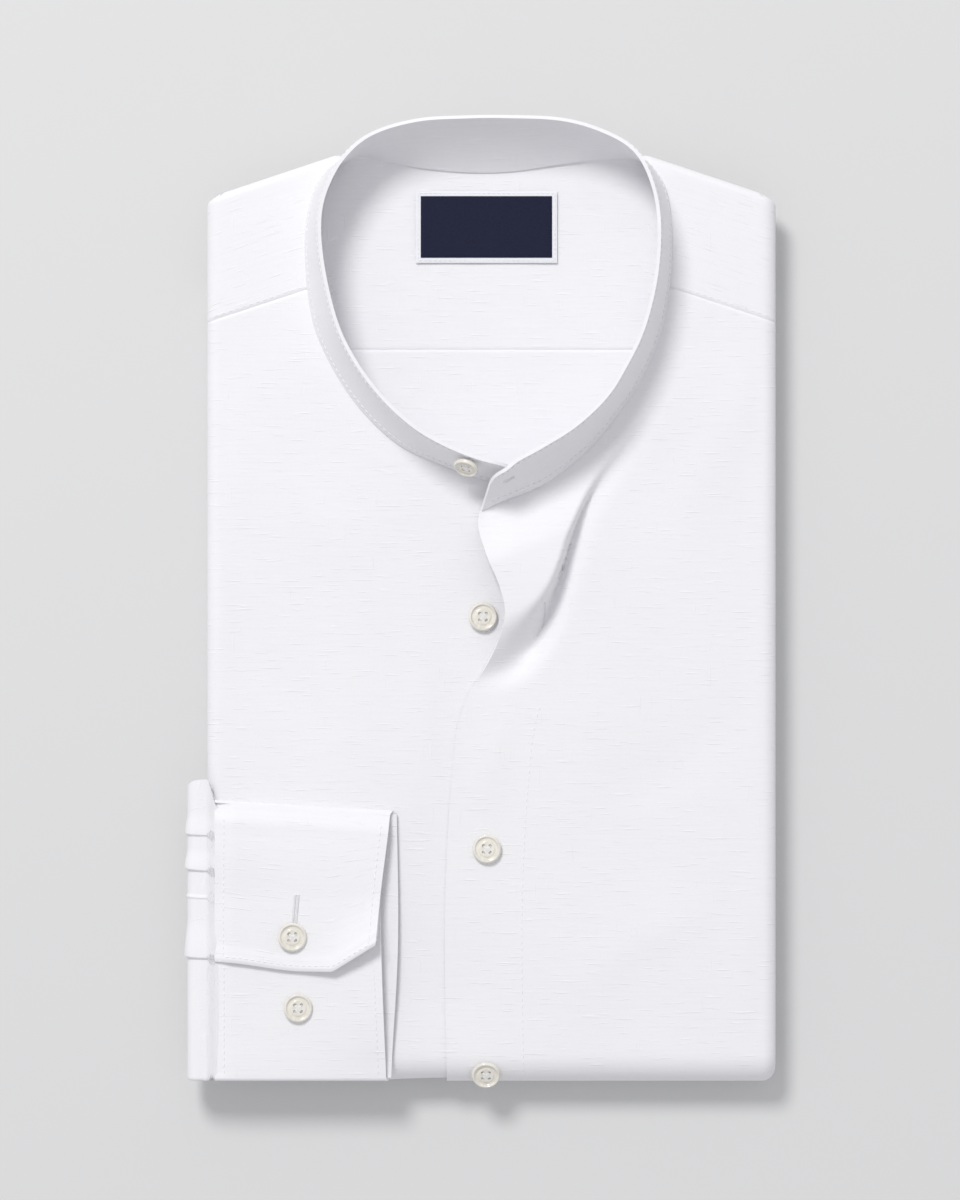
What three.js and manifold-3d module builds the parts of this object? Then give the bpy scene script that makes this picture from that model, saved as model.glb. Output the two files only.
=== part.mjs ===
// A collarless shirt with a band neck, folded for the shelf and lying on its back.
// Millimetres, +Z up. X runs across the shirt, +Y towards the neck, z = 0 is the surface it lies on.
// "Left" and "right" in the names of pieces are the wearer's, so the left front is at +X and on top.
import * as THREE from "three";
import { mergeVertices } from "three/addons/utils/BufferGeometryUtils.js";
import Module from "manifold-3d";

const wasm = await Module();
wasm.setup();

// ---- Driving dimensions ----
const GAP = 0.3;
const CLOTH = 1.2;
const BAND_CLOTH = 1.5;
const CUFF_CLOTH = 1.3;

// The folded body: two bundles, the lower one being the tail turned up behind the upper one.
const HALF_WIDTH = 112.5;
const THICKNESS = 22;
const MIDDLE = THICKNESS / 2;
const EDGE_RADIUS = (MIDDLE - GAP) / 2;
const EDGE_CENTRE = HALF_WIDTH - EDGE_RADIUS;
const FOLD_AXIS = -172.3;
const SHOULDER_Y = 183.3;
const SHOULDER_SLOPE = 0.333;
const SHOULDER_INNER_X = 62;
const SHOULDER_RADIUS = 3.6;
const FRONT_SEAM = { innerX: 72.6, innerY: 130.3, outerX: 112.5, outerY: 117.2 };
const YOKE_SEAM_Y = 106.7;
const BACK_END_Y = -20;
const HEM_Y = 158;
const HEM_SIDE_RISE = 26;

// Where the fronts overlap.
const OVERLAP_DIP = 1.6;
const UNDER_EDGE_X = 12;
const UNDER_SAG = { depth: 2.6, from: 0.5, to: 8, lowY: -40, highY: 46, ramp: 15 };

// Free edge of the left front, from the neck down to where it lies straight.
const FRONT_EDGE = [
  { y: 50, x: -2.2 },
  { y: 39, x: -5.3 },
  { y: 27, x: -2.6 },
  { y: 12, x: 3.4 },
  { y: 3, x: 5.3 },
  { y: -6.5, x: 3.4 },
  { y: -19.5, x: -2.6 },
  { y: -28, x: -8.3 },
  { y: -37, x: -12 },
  { y: -62, x: -15.6 },
  { y: -92, x: -17.6 },
  { y: -200, x: -17.6 },
];

// The deep fold of the unbuttoned left front: the crest of its puff, and the valley below that.
const FOLD_CREST = [
  { x: 68, y: 98, height: 0 },
  { x: 52, y: 76, height: 1.6 },
  { x: 39, y: 54.5, height: 3.8 },
  { x: 30.5, y: 34.4, height: 5.9 },
  { x: 23.2, y: 15.6, height: 7.8 },
  { x: 14, y: 5.5, height: 9 },
  { x: 4, y: 1, height: 8.8 },
  { x: -8, y: -3, height: 7.5 },
];
const FOLD_VALLEY = [
  { x: 71, y: 95, depth: 0 },
  { x: 57, y: 73, depth: 0.4 },
  { x: 43, y: 54.5, depth: 1.1 },
  { x: 34.3, y: 39.6, depth: 1.9 },
  { x: 28.6, y: 22.2, depth: 2.6 },
  { x: 22.4, y: 2.6, depth: 2.8 },
  { x: 16.6, y: -9.5, depth: 2.5 },
  { x: 9.5, y: -18.5, depth: 1.6 },
  { x: 1, y: -23, depth: 0.6 },
  { x: -8, y: -25.5, depth: 0 },
  { x: -20, y: -27.5, depth: 0 },
];
const PUFF_RUN_IN = 22;
const VALLEY_WIDTH = 4.2;
const FLANK_STEEPNESS = 0.85;

// One row for each section of the neck band: its seam to the body and its free rim.
const BAND_SECTIONS = [
  { seamX: -3.6, seamY: 43.2, seamZ: 23.3, rimX: 0.6, rimY: 56, rimZ: 44.5 },
  { seamX: 4.9, seamY: 47.4, seamZ: 23.8, rimX: 5.4, rimY: 57.7, rimZ: 45 },
  { seamX: 14, seamY: 50.9, seamZ: 23.8, rimX: 10.7, rimY: 61.8, rimZ: 45.5 },
  { seamX: 24.7, seamY: 56.5, seamZ: 23.2, rimX: 19.3, rimY: 66.5, rimZ: 46 },
  { seamX: 39.3, seamY: 68.7, seamZ: 23, rimX: 33, rimY: 75.1, rimZ: 46 },
  { seamX: 51.5, seamY: 83.7, seamZ: 23, rimX: 44.7, rimY: 86, rimZ: 46 },
  { seamX: 59.4, seamY: 96, seamZ: 23, rimX: 52.1, rimY: 97.2, rimZ: 46 },
  { seamX: 66.5, seamY: 113, seamZ: 23, rimX: 59.9, rimY: 113.4, rimZ: 46 },
  { seamX: 70.5, seamY: 133.9, seamZ: 23, rimX: 65, rimY: 134.1, rimZ: 46 },
  { seamX: 70.9, seamY: 155.6, seamZ: 23, rimX: 66.2, rimY: 154.8, rimZ: 46 },
  { seamX: 68.1, seamY: 171.4, seamZ: 23, rimX: 63.5, rimY: 170.6, rimZ: 45.5 },
  { seamX: 60, seamY: 182, seamZ: 20.6, rimX: 56.8, rimY: 183.5, rimZ: 44.5 },
  { seamX: 48.1, seamY: 184, seamZ: 18.7, rimX: 44.6, rimY: 191.4, rimZ: 42.5 },
  { seamX: 31.1, seamY: 182.5, seamZ: 17.2, rimX: 27.6, rimY: 196.4, rimZ: 41 },
  { seamX: 8.1, seamY: 179.4, seamZ: 16.4, rimX: 5.6, rimY: 197.5, rimZ: 40.5 },
  { seamX: -8.9, seamY: 179, seamZ: 16.4, rimX: -11.6, rimY: 197.3, rimZ: 40.5 },
  { seamX: -25.1, seamY: 180.2, seamZ: 16.6, rimX: -28, rimY: 196.3, rimZ: 40.5 },
  { seamX: -41, seamY: 182.6, seamZ: 17.6, rimX: -43.5, rimY: 192.3, rimZ: 41.5 },
  { seamX: -54, seamY: 183.8, seamZ: 19.4, rimX: -54, rimY: 185.9, rimZ: 43.5 },
  { seamX: -66.2, seamY: 176, seamZ: 22.6, rimX: -62.4, rimY: 175, rimZ: 45 },
  { seamX: -72.3, seamY: 161, seamZ: 23, rimX: -67.6, rimY: 159.9, rimZ: 45.5 },
  { seamX: -73.3, seamY: 141, seamZ: 23, rimX: -67.1, rimY: 140.8, rimZ: 45.5 },
  { seamX: -70.1, seamY: 117.3, seamZ: 23, rimX: -61.9, rimY: 117.5, rimZ: 45.5 },
  { seamX: -62.2, seamY: 98.9, seamZ: 23, rimX: -54.6, rimY: 101.6, rimZ: 45.5 },
  { seamX: -50.4, seamY: 82.1, seamZ: 23, rimX: -43.9, rimY: 87, rimZ: 45.5 },
  { seamX: -36.1, seamY: 69.1, seamZ: 23, rimX: -31.1, rimY: 75.1, rimZ: 45.5 },
  { seamX: -20.3, seamY: 61.6, seamZ: 22.7, rimX: -17.8, rimY: 67.3, rimZ: 45 },
  { seamX: -5.3, seamY: 56.1, seamZ: 21.8, rimX: -3.4, rimY: 61.8, rimZ: 44.5 },
  { seamX: 6.5, seamY: 52.6, seamZ: 21.4, rimX: 8, rimY: 59.6, rimZ: 43.6 },
];
const BAND_END_ROUNDING = 10;
const BAND_STEPS = 40;
const BAND_ROWS = 4;
const EDGE_STEPS = 5;
const FOLD_STEPS = 8;

// The cuff, a flattened ring closed by two buttons, and the end of the sleeve it is sewn to.
const CUFF = {
  seamX: -109.2,
  topY: -74.5,
  bottomY: -182.3,
  overlapY: -138.8,
  underEndY: -112,
  cutStartX: -63.8,
  cutEndX: -44.8,
  cutEndY: -126.8,
  mouthLift: 4.4,
};
const SLEEVE = {
  outerX: -120.3,
  tuckX: -111.3,
  cloth: 0.95,
  topY: -65.6,
  bottomY: -182.3,
};
// Each pleat stands up at its lower edge and runs back flat above it.
const PLEATS = [
  { y: -85.6, height: 0.7, back: 7 },
  { y: -99.8, height: 0.8, back: 7 },
  { y: -110.5, height: 0.4, back: 4 },
  { y: -134, height: 0.8, back: 12 },
];

// Buttons: four-hole, 18 line.
const BUTTON = { radius: 5.7, thickness: 2.2, rim: 1.2, dish: 0.8, holeRadius: 0.65, holePitch: 2.6 };
const BAND_BUTTON_RADIUS = 5;

const LABEL = { x: -2, y: 155.2, width: 56, height: 28.4, thickness: 0.6 };
const PATCH = { width: 52, height: 24.4, thickness: 0.4 };

const COLOUR = {
  linen: 0xf1f0f4,
  label: 0xf4f4fa,
  navy: 0x202439,
  button: 0xe2ded2,
};

// ---- Small tools ----
const clamp = THREE.MathUtils.clamp;
const lerp = THREE.MathUtils.lerp;
const ease = (value, from, to) => THREE.MathUtils.smoothstep(value, from, to);
const steps = (count) => Array.from({ length: count + 1 }, (_, index) => index / count);

// Value of column `field` where column `key` (falling down the table) passes `at`, eased between rows.
function readTable(rows, key, field, at) {
  if (at >= rows[0][key]) return rows[0][field];
  for (let i = 1; i < rows.length; i += 1) {
    if (at >= rows[i][key]) {
      const part = (rows[i - 1][key] - at) / (rows[i - 1][key] - rows[i][key]);
      return lerp(rows[i - 1][field], rows[i][field], part);
    }
  }
  return rows[rows.length - 1][field];
}

// The place on a run of points nearest to (x, y): how far off it is, on which side, and its value there.
function nearestOnRun(rows, field, x, y) {
  let best = { distance: Infinity };
  for (let i = 1; i < rows.length; i += 1) {
    const a = rows[i - 1];
    const b = rows[i];
    const dx = b.x - a.x;
    const dy = b.y - a.y;
    const part = clamp(((x - a.x) * dx + (y - a.y) * dy) / (dx * dx + dy * dy), 0, 1);
    const offX = x - a.x - part * dx;
    const offY = y - a.y - part * dy;
    const distance = Math.hypot(offX, offY);
    if (distance < best.distance) {
      best = { distance, left: dx * offY - dy * offX > 0, value: lerp(a[field], b[field], part) };
    }
  }
  return best;
}

// A wall of cloth. place(a, b) gives its outer face, across[i] is a at column i, and along(i) lists
// b down that column, rising, so a column may start and end where it likes. turn is -1 where the
// outer face is on the other side of the grid.
function clothWall({ across, along, place, thickness, closed = false, turn = 1 }) {
  const columns = across.map((a, i) => along(i).map((b) => [a, b]));
  const rows = columns[0].length;
  const step = 1e-3;
  const outer = columns.flat().map(([a, b]) => place(a, b));
  const inner = columns.flat().map(([a, b], k) => {
    const acrossStep = place(a + step, b).sub(place(a - step, b));
    const alongStep = place(a, b + step).sub(place(a, b - step));
    return outer[k].clone().addScaledVector(acrossStep.cross(alongStep).normalize(), -turn * thickness);
  });
  const points = [...outer, ...inner];
  const index = [];
  const triangle = (...corners) => {
    const [m, n, o] = corners.map((corner) => points[corner]);
    const flat = [m.distanceTo(n), n.distanceTo(o), o.distanceTo(m)].some((side) => side < 1e-4);
    if (!flat) index.push(...(turn > 0 ? corners : corners.reverse()));
  };
  const quad = (m, n, o, p) => {
    triangle(m, n, o);
    triangle(m, o, p);
  };
  const top = (i, j) => (i % columns.length) * rows + j;
  const under = (i, j) => outer.length + top(i, j);
  const lastRow = rows - 1;
  const lastColumn = columns.length - 1;
  const spans = closed ? columns.length : lastColumn;
  for (let i = 0; i < spans; i += 1) {
    for (let j = 0; j < lastRow; j += 1) {
      quad(top(i, j), top(i + 1, j), top(i + 1, j + 1), top(i, j + 1));
      quad(under(i, j), under(i, j + 1), under(i + 1, j + 1), under(i + 1, j));
    }
    quad(top(i + 1, 0), top(i, 0), under(i, 0), under(i + 1, 0));
    quad(top(i, lastRow), top(i + 1, lastRow), under(i + 1, lastRow), under(i, lastRow));
  }
  for (let j = 0; j < lastRow && !closed; j += 1) {
    quad(top(0, j), top(0, j + 1), under(0, j + 1), under(0, j));
    quad(top(lastColumn, j + 1), top(lastColumn, j), under(lastColumn, j), under(lastColumn, j + 1));
  }
  const geometry = new THREE.BufferGeometry().setFromPoints(points);
  geometry.setIndex(index);
  return geometry;
}

// A solid whose six faces are the faces of a unit box moved by place(a, b, c), each in 0..1.
function warpedBox(counts, place) {
  const box = new THREE.BoxGeometry(1, 1, 1, ...counts);
  const position = box.attributes.position;
  for (let i = 0; i < position.count; i += 1) {
    const point = place(position.getX(i) + 0.5, position.getY(i) + 0.5, position.getZ(i) + 0.5);
    position.setXYZ(i, point.x, point.y, point.z);
  }
  box.deleteAttribute("normal");
  box.deleteAttribute("uv");
  return mergeVertices(box, 1e-4);
}

function linen() {
  return new THREE.MeshStandardMaterial({ color: COLOUR.linen, roughness: 0.9, metalness: 0 });
}

const shirt = new THREE.Group();
shirt.name = "collarless_shirt";

function addPiece(name, geometry, material) {
  const mesh = new THREE.Mesh(geometry, material);
  mesh.name = name;
  shirt.add(mesh);
  return mesh;
}

// ---- The neck seam, and where the panels meet it ----
const seamCurve = new THREE.CatmullRomCurve3(
  BAND_SECTIONS.map((row) => new THREE.Vector3(row.seamX, row.seamY, row.seamZ)),
);
const rimCurve = new THREE.CatmullRomCurve3(
  BAND_SECTIONS.map((row) => new THREE.Vector3(row.rimX, row.rimY, row.rimZ)),
);
const NECK_SAMPLES = 280;
const NECK_INSET = 1.1;

// The panels' neck edge lies under the band, a little inside its outer face.
const neckEdge = steps(NECK_SAMPLES).map((part) => {
  const point = seamCurve.getPoint(part);
  const tangent = seamCurve.getTangent(part);
  const along = Math.hypot(tangent.x, tangent.y);
  return { x: point.x - (NECK_INSET * tangent.y) / along, y: point.y + (NECK_INSET * tangent.x) / along };
});
const rightmost = neckEdge.reduce((best, point, i) => (point.x > neckEdge[best].x ? i : best), 0);
const leftmost = neckEdge.reduce((best, point, i) => (point.x < neckEdge[best].x ? i : best), 0);
const neckBranch = {
  left: neckEdge.slice(0, rightmost + 1),
  back: neckEdge.slice(rightmost, leftmost + 1),
  right: neckEdge.slice(leftmost),
};

function neckY(branch, x) {
  for (let i = 1; i < branch.length; i += 1) {
    const a = branch[i - 1];
    const b = branch[i];
    if (a.x !== b.x && (x - a.x) * (x - b.x) <= 0) return lerp(a.y, b.y, (x - a.x) / (b.x - a.x));
  }
  const first = branch[0];
  const last = branch[branch.length - 1];
  return Math.abs(x - first.x) < Math.abs(x - last.x) ? first.y : last.y;
}

// ---- The section across a bundle: in over the top, and half a circle round the edge to the middle ----
const EDGE_LENGTH = Math.PI * EDGE_RADIUS;

// The point at a distance from the centre line along the section; inset shrinks the section.
function sectionPoint(distance, inset = 0) {
  if (distance <= EDGE_CENTRE) return { across: distance, out: MIDDLE - inset };
  const angle = (distance - EDGE_CENTRE) / EDGE_RADIUS;
  const radius = EDGE_RADIUS - inset;
  return {
    across: EDGE_CENTRE + radius * Math.sin(angle),
    out: MIDDLE - EDGE_RADIUS + radius * Math.cos(angle),
  };
}

// ---- Fronts: each runs down the top, round the bottom fold and back along the underside ----
const FOLD_LENGTH = Math.PI * MIDDLE;
const UNDER_START = FOLD_AXIS - FOLD_LENGTH;

// run is y on the top face; past the fold's axis it goes round the fold, then along the underside.
function aroundFold(x, out, run) {
  if (run >= FOLD_AXIS) return new THREE.Vector3(x, run, MIDDLE + out);
  if (run <= UNDER_START) return new THREE.Vector3(x, FOLD_AXIS + UNDER_START - run, MIDDLE - out);
  const angle = (FOLD_AXIS - run) / MIDDLE;
  return new THREE.Vector3(x, FOLD_AXIS - out * Math.sin(angle), MIDDLE + out * Math.cos(angle));
}

function shoulderSeamY(across) {
  const part = (across - FRONT_SEAM.innerX) / (FRONT_SEAM.outerX - FRONT_SEAM.innerX);
  return lerp(FRONT_SEAM.innerY, FRONT_SEAM.outerY, part);
}

// The shirt tail turned up behind ends in a hem that is shorter at the sides.
function hemRun(across) {
  const hemY = HEM_Y - HEM_SIDE_RISE * ease(across, 45, HALF_WIDTH);
  return UNDER_START - (hemY - FOLD_AXIS);
}

// A front, built on one side: columns are x places at the neck's level, and those inside the edge
// round shift with the free edge, so that the last one follows it.
function makeFront({ name, side, branch, neckReach, freeEdge, lift, flatColumns, topRows }) {
  const neckFree = side * freeEdge(FRONT_EDGE[0].y);
  const distanceAt = (column, run) => {
    if (column >= EDGE_CENTRE) return column;
    const part = (EDGE_CENTRE - column) / (EDGE_CENTRE - neckFree);
    return EDGE_CENTRE - part * (EDGE_CENTRE - side * freeEdge(run));
  };
  const place = (column, run) => {
    const point = sectionPoint(distanceAt(column, run));
    const x = side * point.across;
    const flat = point.across <= EDGE_CENTRE ? lift(x, run) : 0;
    return aroundFold(x, point.out + flat, run);
  };
  const topRun = (column) => {
    const across = sectionPoint(column).across;
    return across < neckReach ? neckY(branch, side * across) : shoulderSeamY(across) - GAP / 2;
  };
  const edgeColumns = steps(EDGE_STEPS).map((part) => EDGE_CENTRE + part * EDGE_LENGTH);
  const across = [...flatColumns, ...edgeColumns];
  const foldRows = steps(FOLD_STEPS).map((part) => UNDER_START + part * FOLD_LENGTH);
  const along = (i) => {
    const start = topRun(across[i]);
    const hem = hemRun(Math.min(across[i], EDGE_CENTRE));
    const underRows = [-440, -330].map((run) => Math.max(run, hem));
    return [hem, ...underRows, ...foldRows, ...topRows.map((run) => Math.min(run, start)), start];
  };
  addPiece(name, clothWall({ across, along, place, thickness: CLOTH, turn: side }), linen());
}

const overlapDip = (x) => OVERLAP_DIP * ease(x, -29, -19);
const leftFreeEdge = (run) => readTable(FRONT_EDGE, "y", "x", run);

// The under layer gives way below the open fold.
function underSag(x, run) {
  const { depth, from, to, lowY, highY, ramp } = UNDER_SAG;
  const off = x - leftFreeEdge(run);
  return depth * ease(off, from, to) * ease(run, lowY, lowY + ramp) * (1 - ease(run, highY - ramp, highY));
}

// Up from the neck seam to the crest of the puff, and from there down into the valley.
function openFold(x, run) {
  const crest = nearestOnRun(FOLD_CREST, "height", x, run);
  const valley = nearestOnRun(FOLD_VALLEY, "depth", x, run);
  if (valley.left) return -valley.value * Math.exp(-((valley.distance / VALLEY_WIDTH) ** 2));
  const toSeam = Math.min(...neckBranch.left.map((point) => Math.hypot(point.x - x, point.y - run)));
  const top = crest.value * ease(toSeam, 0, PUFF_RUN_IN);
  if (!crest.left) return top;
  const part = valley.distance / (valley.distance + crest.distance);
  const flank = Math.sin((part * Math.PI) / 2) ** FLANK_STEEPNESS;
  return top * flank - valley.value * (1 - flank);
}
const leftReach = neckEdge[rightmost].x;
const rightReach = -neckEdge[leftmost].x;

makeFront({
  name: "right_front",
  side: -1,
  branch: neckBranch.right,
  neckReach: rightReach,
  freeEdge: () => UNDER_EDGE_X,
  lift: (x, run) => -overlapDip(x) - underSag(x, run),
  flatColumns: [
    ...[-UNDER_EDGE_X, -5, 0, 4, 12, 19, 24, 29, 40, 52, 62],
    ...[rightReach - 4, rightReach, rightReach + 0.3, 90],
  ],
  topRows: [-150, -60, -40, -30, 30, 46, 75, 95],
});
makeFront({
  name: "left_front",
  side: 1,
  branch: neckBranch.left,
  neckReach: leftReach,
  freeEdge: leftFreeEdge,
  lift: openFold,
  flatColumns: [
    ...[-2.2, 3, 8, 12.5, 17, 21.5, 26, 30.5, 35, 41, 48, 56, 63],
    ...[leftReach - 2.5, leftReach, leftReach + 0.3, 90],
  ],
  topRows: [-62, -37, -28, -20, -13, -6.5, 0, 6, 12, 19, 26, 33, 40, 48, 58, 70, 90],
});

// ---- Yoke: over both shoulders, round the shoulder fold and down inside the back of the neck ----
const shoulderFoldY = (across) => SHOULDER_Y - SHOULDER_SLOPE * Math.max(0, across - SHOULDER_INNER_X);
const TURN = Math.PI * SHOULDER_RADIUS;

// run is 0 where the shoulder fold starts to turn, TURN where it has turned over.
function yokePlace(distance, run) {
  const side = Math.sign(distance) || 1;
  const foldY = shoulderFoldY(sectionPoint(Math.abs(distance)).across) - SHOULDER_RADIUS;
  const angle = clamp(run / SHOULDER_RADIUS, 0, Math.PI);
  const inset = SHOULDER_RADIUS * (1 - Math.cos(angle));
  const straight = run < 0 ? run : Math.min(0, TURN - run);
  const point = sectionPoint(Math.abs(distance), inset);
  return new THREE.Vector3(
    side * point.across,
    foldY + SHOULDER_RADIUS * Math.sin(angle) + straight,
    MIDDLE + point.out,
  );
}

function yokeStart(distance) {
  const across = sectionPoint(Math.abs(distance)).across;
  const foldY = shoulderFoldY(across) - SHOULDER_RADIUS;
  const outside = distance > leftReach || distance < -rightReach;
  const y = outside ? shoulderSeamY(across) + GAP / 2 : neckY(neckBranch.back, distance);
  const turned = SHOULDER_RADIUS * Math.asin(clamp((y - foldY) / SHOULDER_RADIUS, 0, 1));
  const before = Math.min(0, y - foldY);
  return lerp(TURN - turned - before, turned + before, ease(across, 54, 67));
}

function yokeEnd(distance) {
  const across = Math.abs(distance);
  const full = TURN + shoulderFoldY(across) - SHOULDER_RADIUS - YOKE_SEAM_Y - GAP / 2;
  return across >= EDGE_CENTRE ? TURN / 2 : full;
}

function makeYoke() {
  const edge = steps(EDGE_STEPS).map((part) => EDGE_CENTRE + part * EDGE_LENGTH);
  const neckSide = (reach) => [reach - 9, reach - 5, reach - 2.5, reach - 1, reach, reach + 0.3, 88, 104];
  const middle = [-54, -46, -32, -16, 0, 16, 32, 46, 54];
  const leftSide = [...neckSide(leftReach), ...edge];
  const rightSide = [...neckSide(rightReach), ...edge].map((distance) => -distance).reverse();
  const across = [...rightSide, ...middle, ...leftSide];
  const rows = [-40, -20, 0, ...steps(6).slice(1).map((part) => part * TURN)];
  const along = (i) => {
    const start = yokeStart(across[i]);
    const end = yokeEnd(across[i]);
    return [start, ...rows.map((run) => clamp(run, start, end)), end];
  };
  addPiece("yoke", clothWall({ across, along, place: yokePlace, thickness: CLOTH }), linen());
}
makeYoke();

// ---- Back: the stretch that shows in the neck, running on under the fronts ----
const BACK_TOP_Z = THICKNESS - 2 * SHOULDER_RADIUS + CLOTH;
const BACK_HALF_WIDTH = 86;

addPiece(
  "back",
  clothWall({
    across: steps(6).map((part) => lerp(-BACK_HALF_WIDTH, BACK_HALF_WIDTH, part)),
    along: () => steps(3).map((part) => lerp(BACK_END_Y, YOKE_SEAM_Y - GAP / 2, part)),
    place: (x, y) => new THREE.Vector3(x, y, BACK_TOP_Z),
    thickness: CLOTH,
  }),
  linen(),
);

// ---- Neck band, sewn round the neck and rounded at both ends ----
function bandPlace(part, height) {
  const seam = seamCurve.getPoint(clamp(part, 0, 1));
  const rim = rimCurve.getPoint(clamp(part, 0, 1));
  const lean = height * (1.5 - 0.5 * height);
  return new THREE.Vector3(
    lerp(seam.x, rim.x, lean),
    lerp(seam.y, rim.y, lean),
    lerp(seam.z, rim.z, height),
  );
}

function bandTop(part) {
  const end = seamCurve.getPoint(Math.round(part));
  const fromEnd = seamCurve.getPoint(part).distanceTo(end);
  const missing = 1 - Math.min(1, fromEnd / BAND_END_ROUNDING);
  const height = bandPlace(part, 0).distanceTo(bandPlace(part, 1));
  return 1 - (BAND_END_ROUNDING * (1 - Math.sqrt(1 - missing ** 2))) / height;
}

function makeBand() {
  const ends = [0, 0.004, 0.012, 0.024, 0.04];
  const middle = steps(BAND_STEPS).map((part) => lerp(0.06, 0.94, part));
  const across = [...ends, ...middle, ...ends.map((part) => 1 - part).reverse()];
  const along = (i) => steps(BAND_ROWS).map((part) => part * bandTop(across[i]));
  addPiece("neck_band", clothWall({ across, along, place: bandPlace, thickness: BAND_CLOTH }), linen());
}
makeBand();

// ---- Sleeve: the flattened end of it, out from between the bundles and over the edge ----
const SLEEVE_THICKNESS = 2 * SLEEVE.cloth + GAP;
const LOOP_BOTTOM = MIDDLE - 1.65;
const LOOP_TOP = THICKNESS + GAP + 0.1 + SLEEVE_THICKNESS;
const LOOP_RADIUS = (LOOP_TOP - LOOP_BOTTOM) / 2;
const LOOP_X = SLEEVE.outerX + LOOP_RADIUS;

// A tube pressed flat: how far out of the middle of its thickness, and where across its width.
function flatTube(around, top, bottom, pleated) {
  const half = SLEEVE_THICKNESS / 2;
  const span = top - bottom - 2 * half;
  const bend = Math.PI * half;
  if (around < span) {
    const y = top - half - around;
    const step = (foot, back) => ease(y, foot - 1, foot + 1) * (1 - ease(y, foot + 1, foot + back));
    const pleats = PLEATS.reduce((sum, pleat) => sum + pleat.height * step(pleat.y, pleat.back), 0);
    return { y, out: half + pleated * pleats };
  }
  if (around < span + bend) {
    const angle = (around - span) / half;
    return { y: bottom + half - half * Math.sin(angle), out: half * Math.cos(angle) };
  }
  if (around < 2 * span + bend) return { y: bottom + half + around - span - bend, out: -half };
  const angle = (around - 2 * span - bend) / half;
  return { y: top - half + half * Math.sin(angle), out: -half * Math.cos(angle) };
}

// run goes from the tucked end (0) round the loop (1 to 2) to the cuff seam (3).
function sleevePlace(around, run) {
  const top = SLEEVE.topY - 3 * ease(run, 2.2, 1) * ease(run, 0.6, 1.4);
  const point = flatTube(around, top, SLEEVE.bottomY, ease(run, 1.2, 2));
  const middle = LOOP_RADIUS - SLEEVE_THICKNESS / 2;
  const out = middle + point.out;
  const loopZ = LOOP_TOP - LOOP_RADIUS;
  if (run < 1) {
    const pastFold = ease(-point.y, -FOLD_AXIS - 3, -FOLD_AXIS);
    const end = lerp(SLEEVE.tuckX, LOOP_X - 0.2, pastFold);
    return new THREE.Vector3(lerp(end, LOOP_X, run), point.y, loopZ - out);
  }
  if (run > 2) {
    return new THREE.Vector3(lerp(LOOP_X, CUFF.seamX - GAP, run - 2), point.y, loopZ + out);
  }
  const angle = (run - 1) * Math.PI;
  return new THREE.Vector3(LOOP_X - out * Math.sin(angle), point.y, loopZ - out * Math.cos(angle));
}

function makeSleeve() {
  const half = SLEEVE_THICKNESS / 2;
  const top = SLEEVE.topY - half;
  const span = SLEEVE.topY - SLEEVE.bottomY - SLEEVE_THICKNESS;
  const bend = Math.PI * half;
  const pleatPlaces = PLEATS.flatMap(({ y, back }) => [y + back, y + 1, y, y - 1]).map((y) => top - y);
  const around = [0, ...pleatPlaces, top + 174, span, span + bend / 2, span + bend];
  around.push(span + bend + 9, span + bend + 14, 2 * span + bend, 2 * span + 1.5 * bend);
  const along = () => [0, 1, ...steps(7).slice(1).map((part) => 1 + part), 3];
  const wall = { across: around, along, place: sleevePlace, thickness: SLEEVE.cloth, closed: true, turn: 1 };
  addPiece("right_sleeve", clothWall(wall), linen());
}
makeSleeve();

// ---- Cuff: a flattened ring; from its hidden under end round the bottom, the back and the top ----
const CUFF_BACK_Z = THICKNESS + GAP + 0.1;
const CUFF_FRONT_Z = CUFF_BACK_Z + 2 * CUFF_CLOTH + GAP;
const CUFF_UPPER_Z = CUFF_FRONT_Z + CUFF_CLOTH + GAP;
const CUFF_RADIUS = (CUFF_FRONT_Z - CUFF_BACK_Z) / 2;

// Where the mouth's edge runs, for each stage of the way round the cuff.
const CUFF_MOUTH = [
  { stage: 5, x: -45.6 },
  { stage: 4.6, x: -43.6 },
  { stage: 4, x: -40 },
  { stage: 3.5, x: -38.6 },
  { stage: 3, x: -37.4 },
  { stage: 2.5, x: -36.9 },
  { stage: 2, x: -39.6 },
  { stage: 1.5, x: -41 },
  { stage: 1, x: -41.6 },
  { stage: 0.5, x: -43 },
  { stage: 0, x: -44 },
];

function cuffOverlapY(x) {
  const cut = clamp((x - CUFF.cutStartX) / (CUFF.cutEndX - CUFF.cutStartX), 0, 1);
  const sag = 3.6 * (1 - ease(x, CUFF.seamX, CUFF.seamX + 36));
  return lerp(CUFF.overlapY + sag, CUFF.cutEndY, cut);
}

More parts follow.
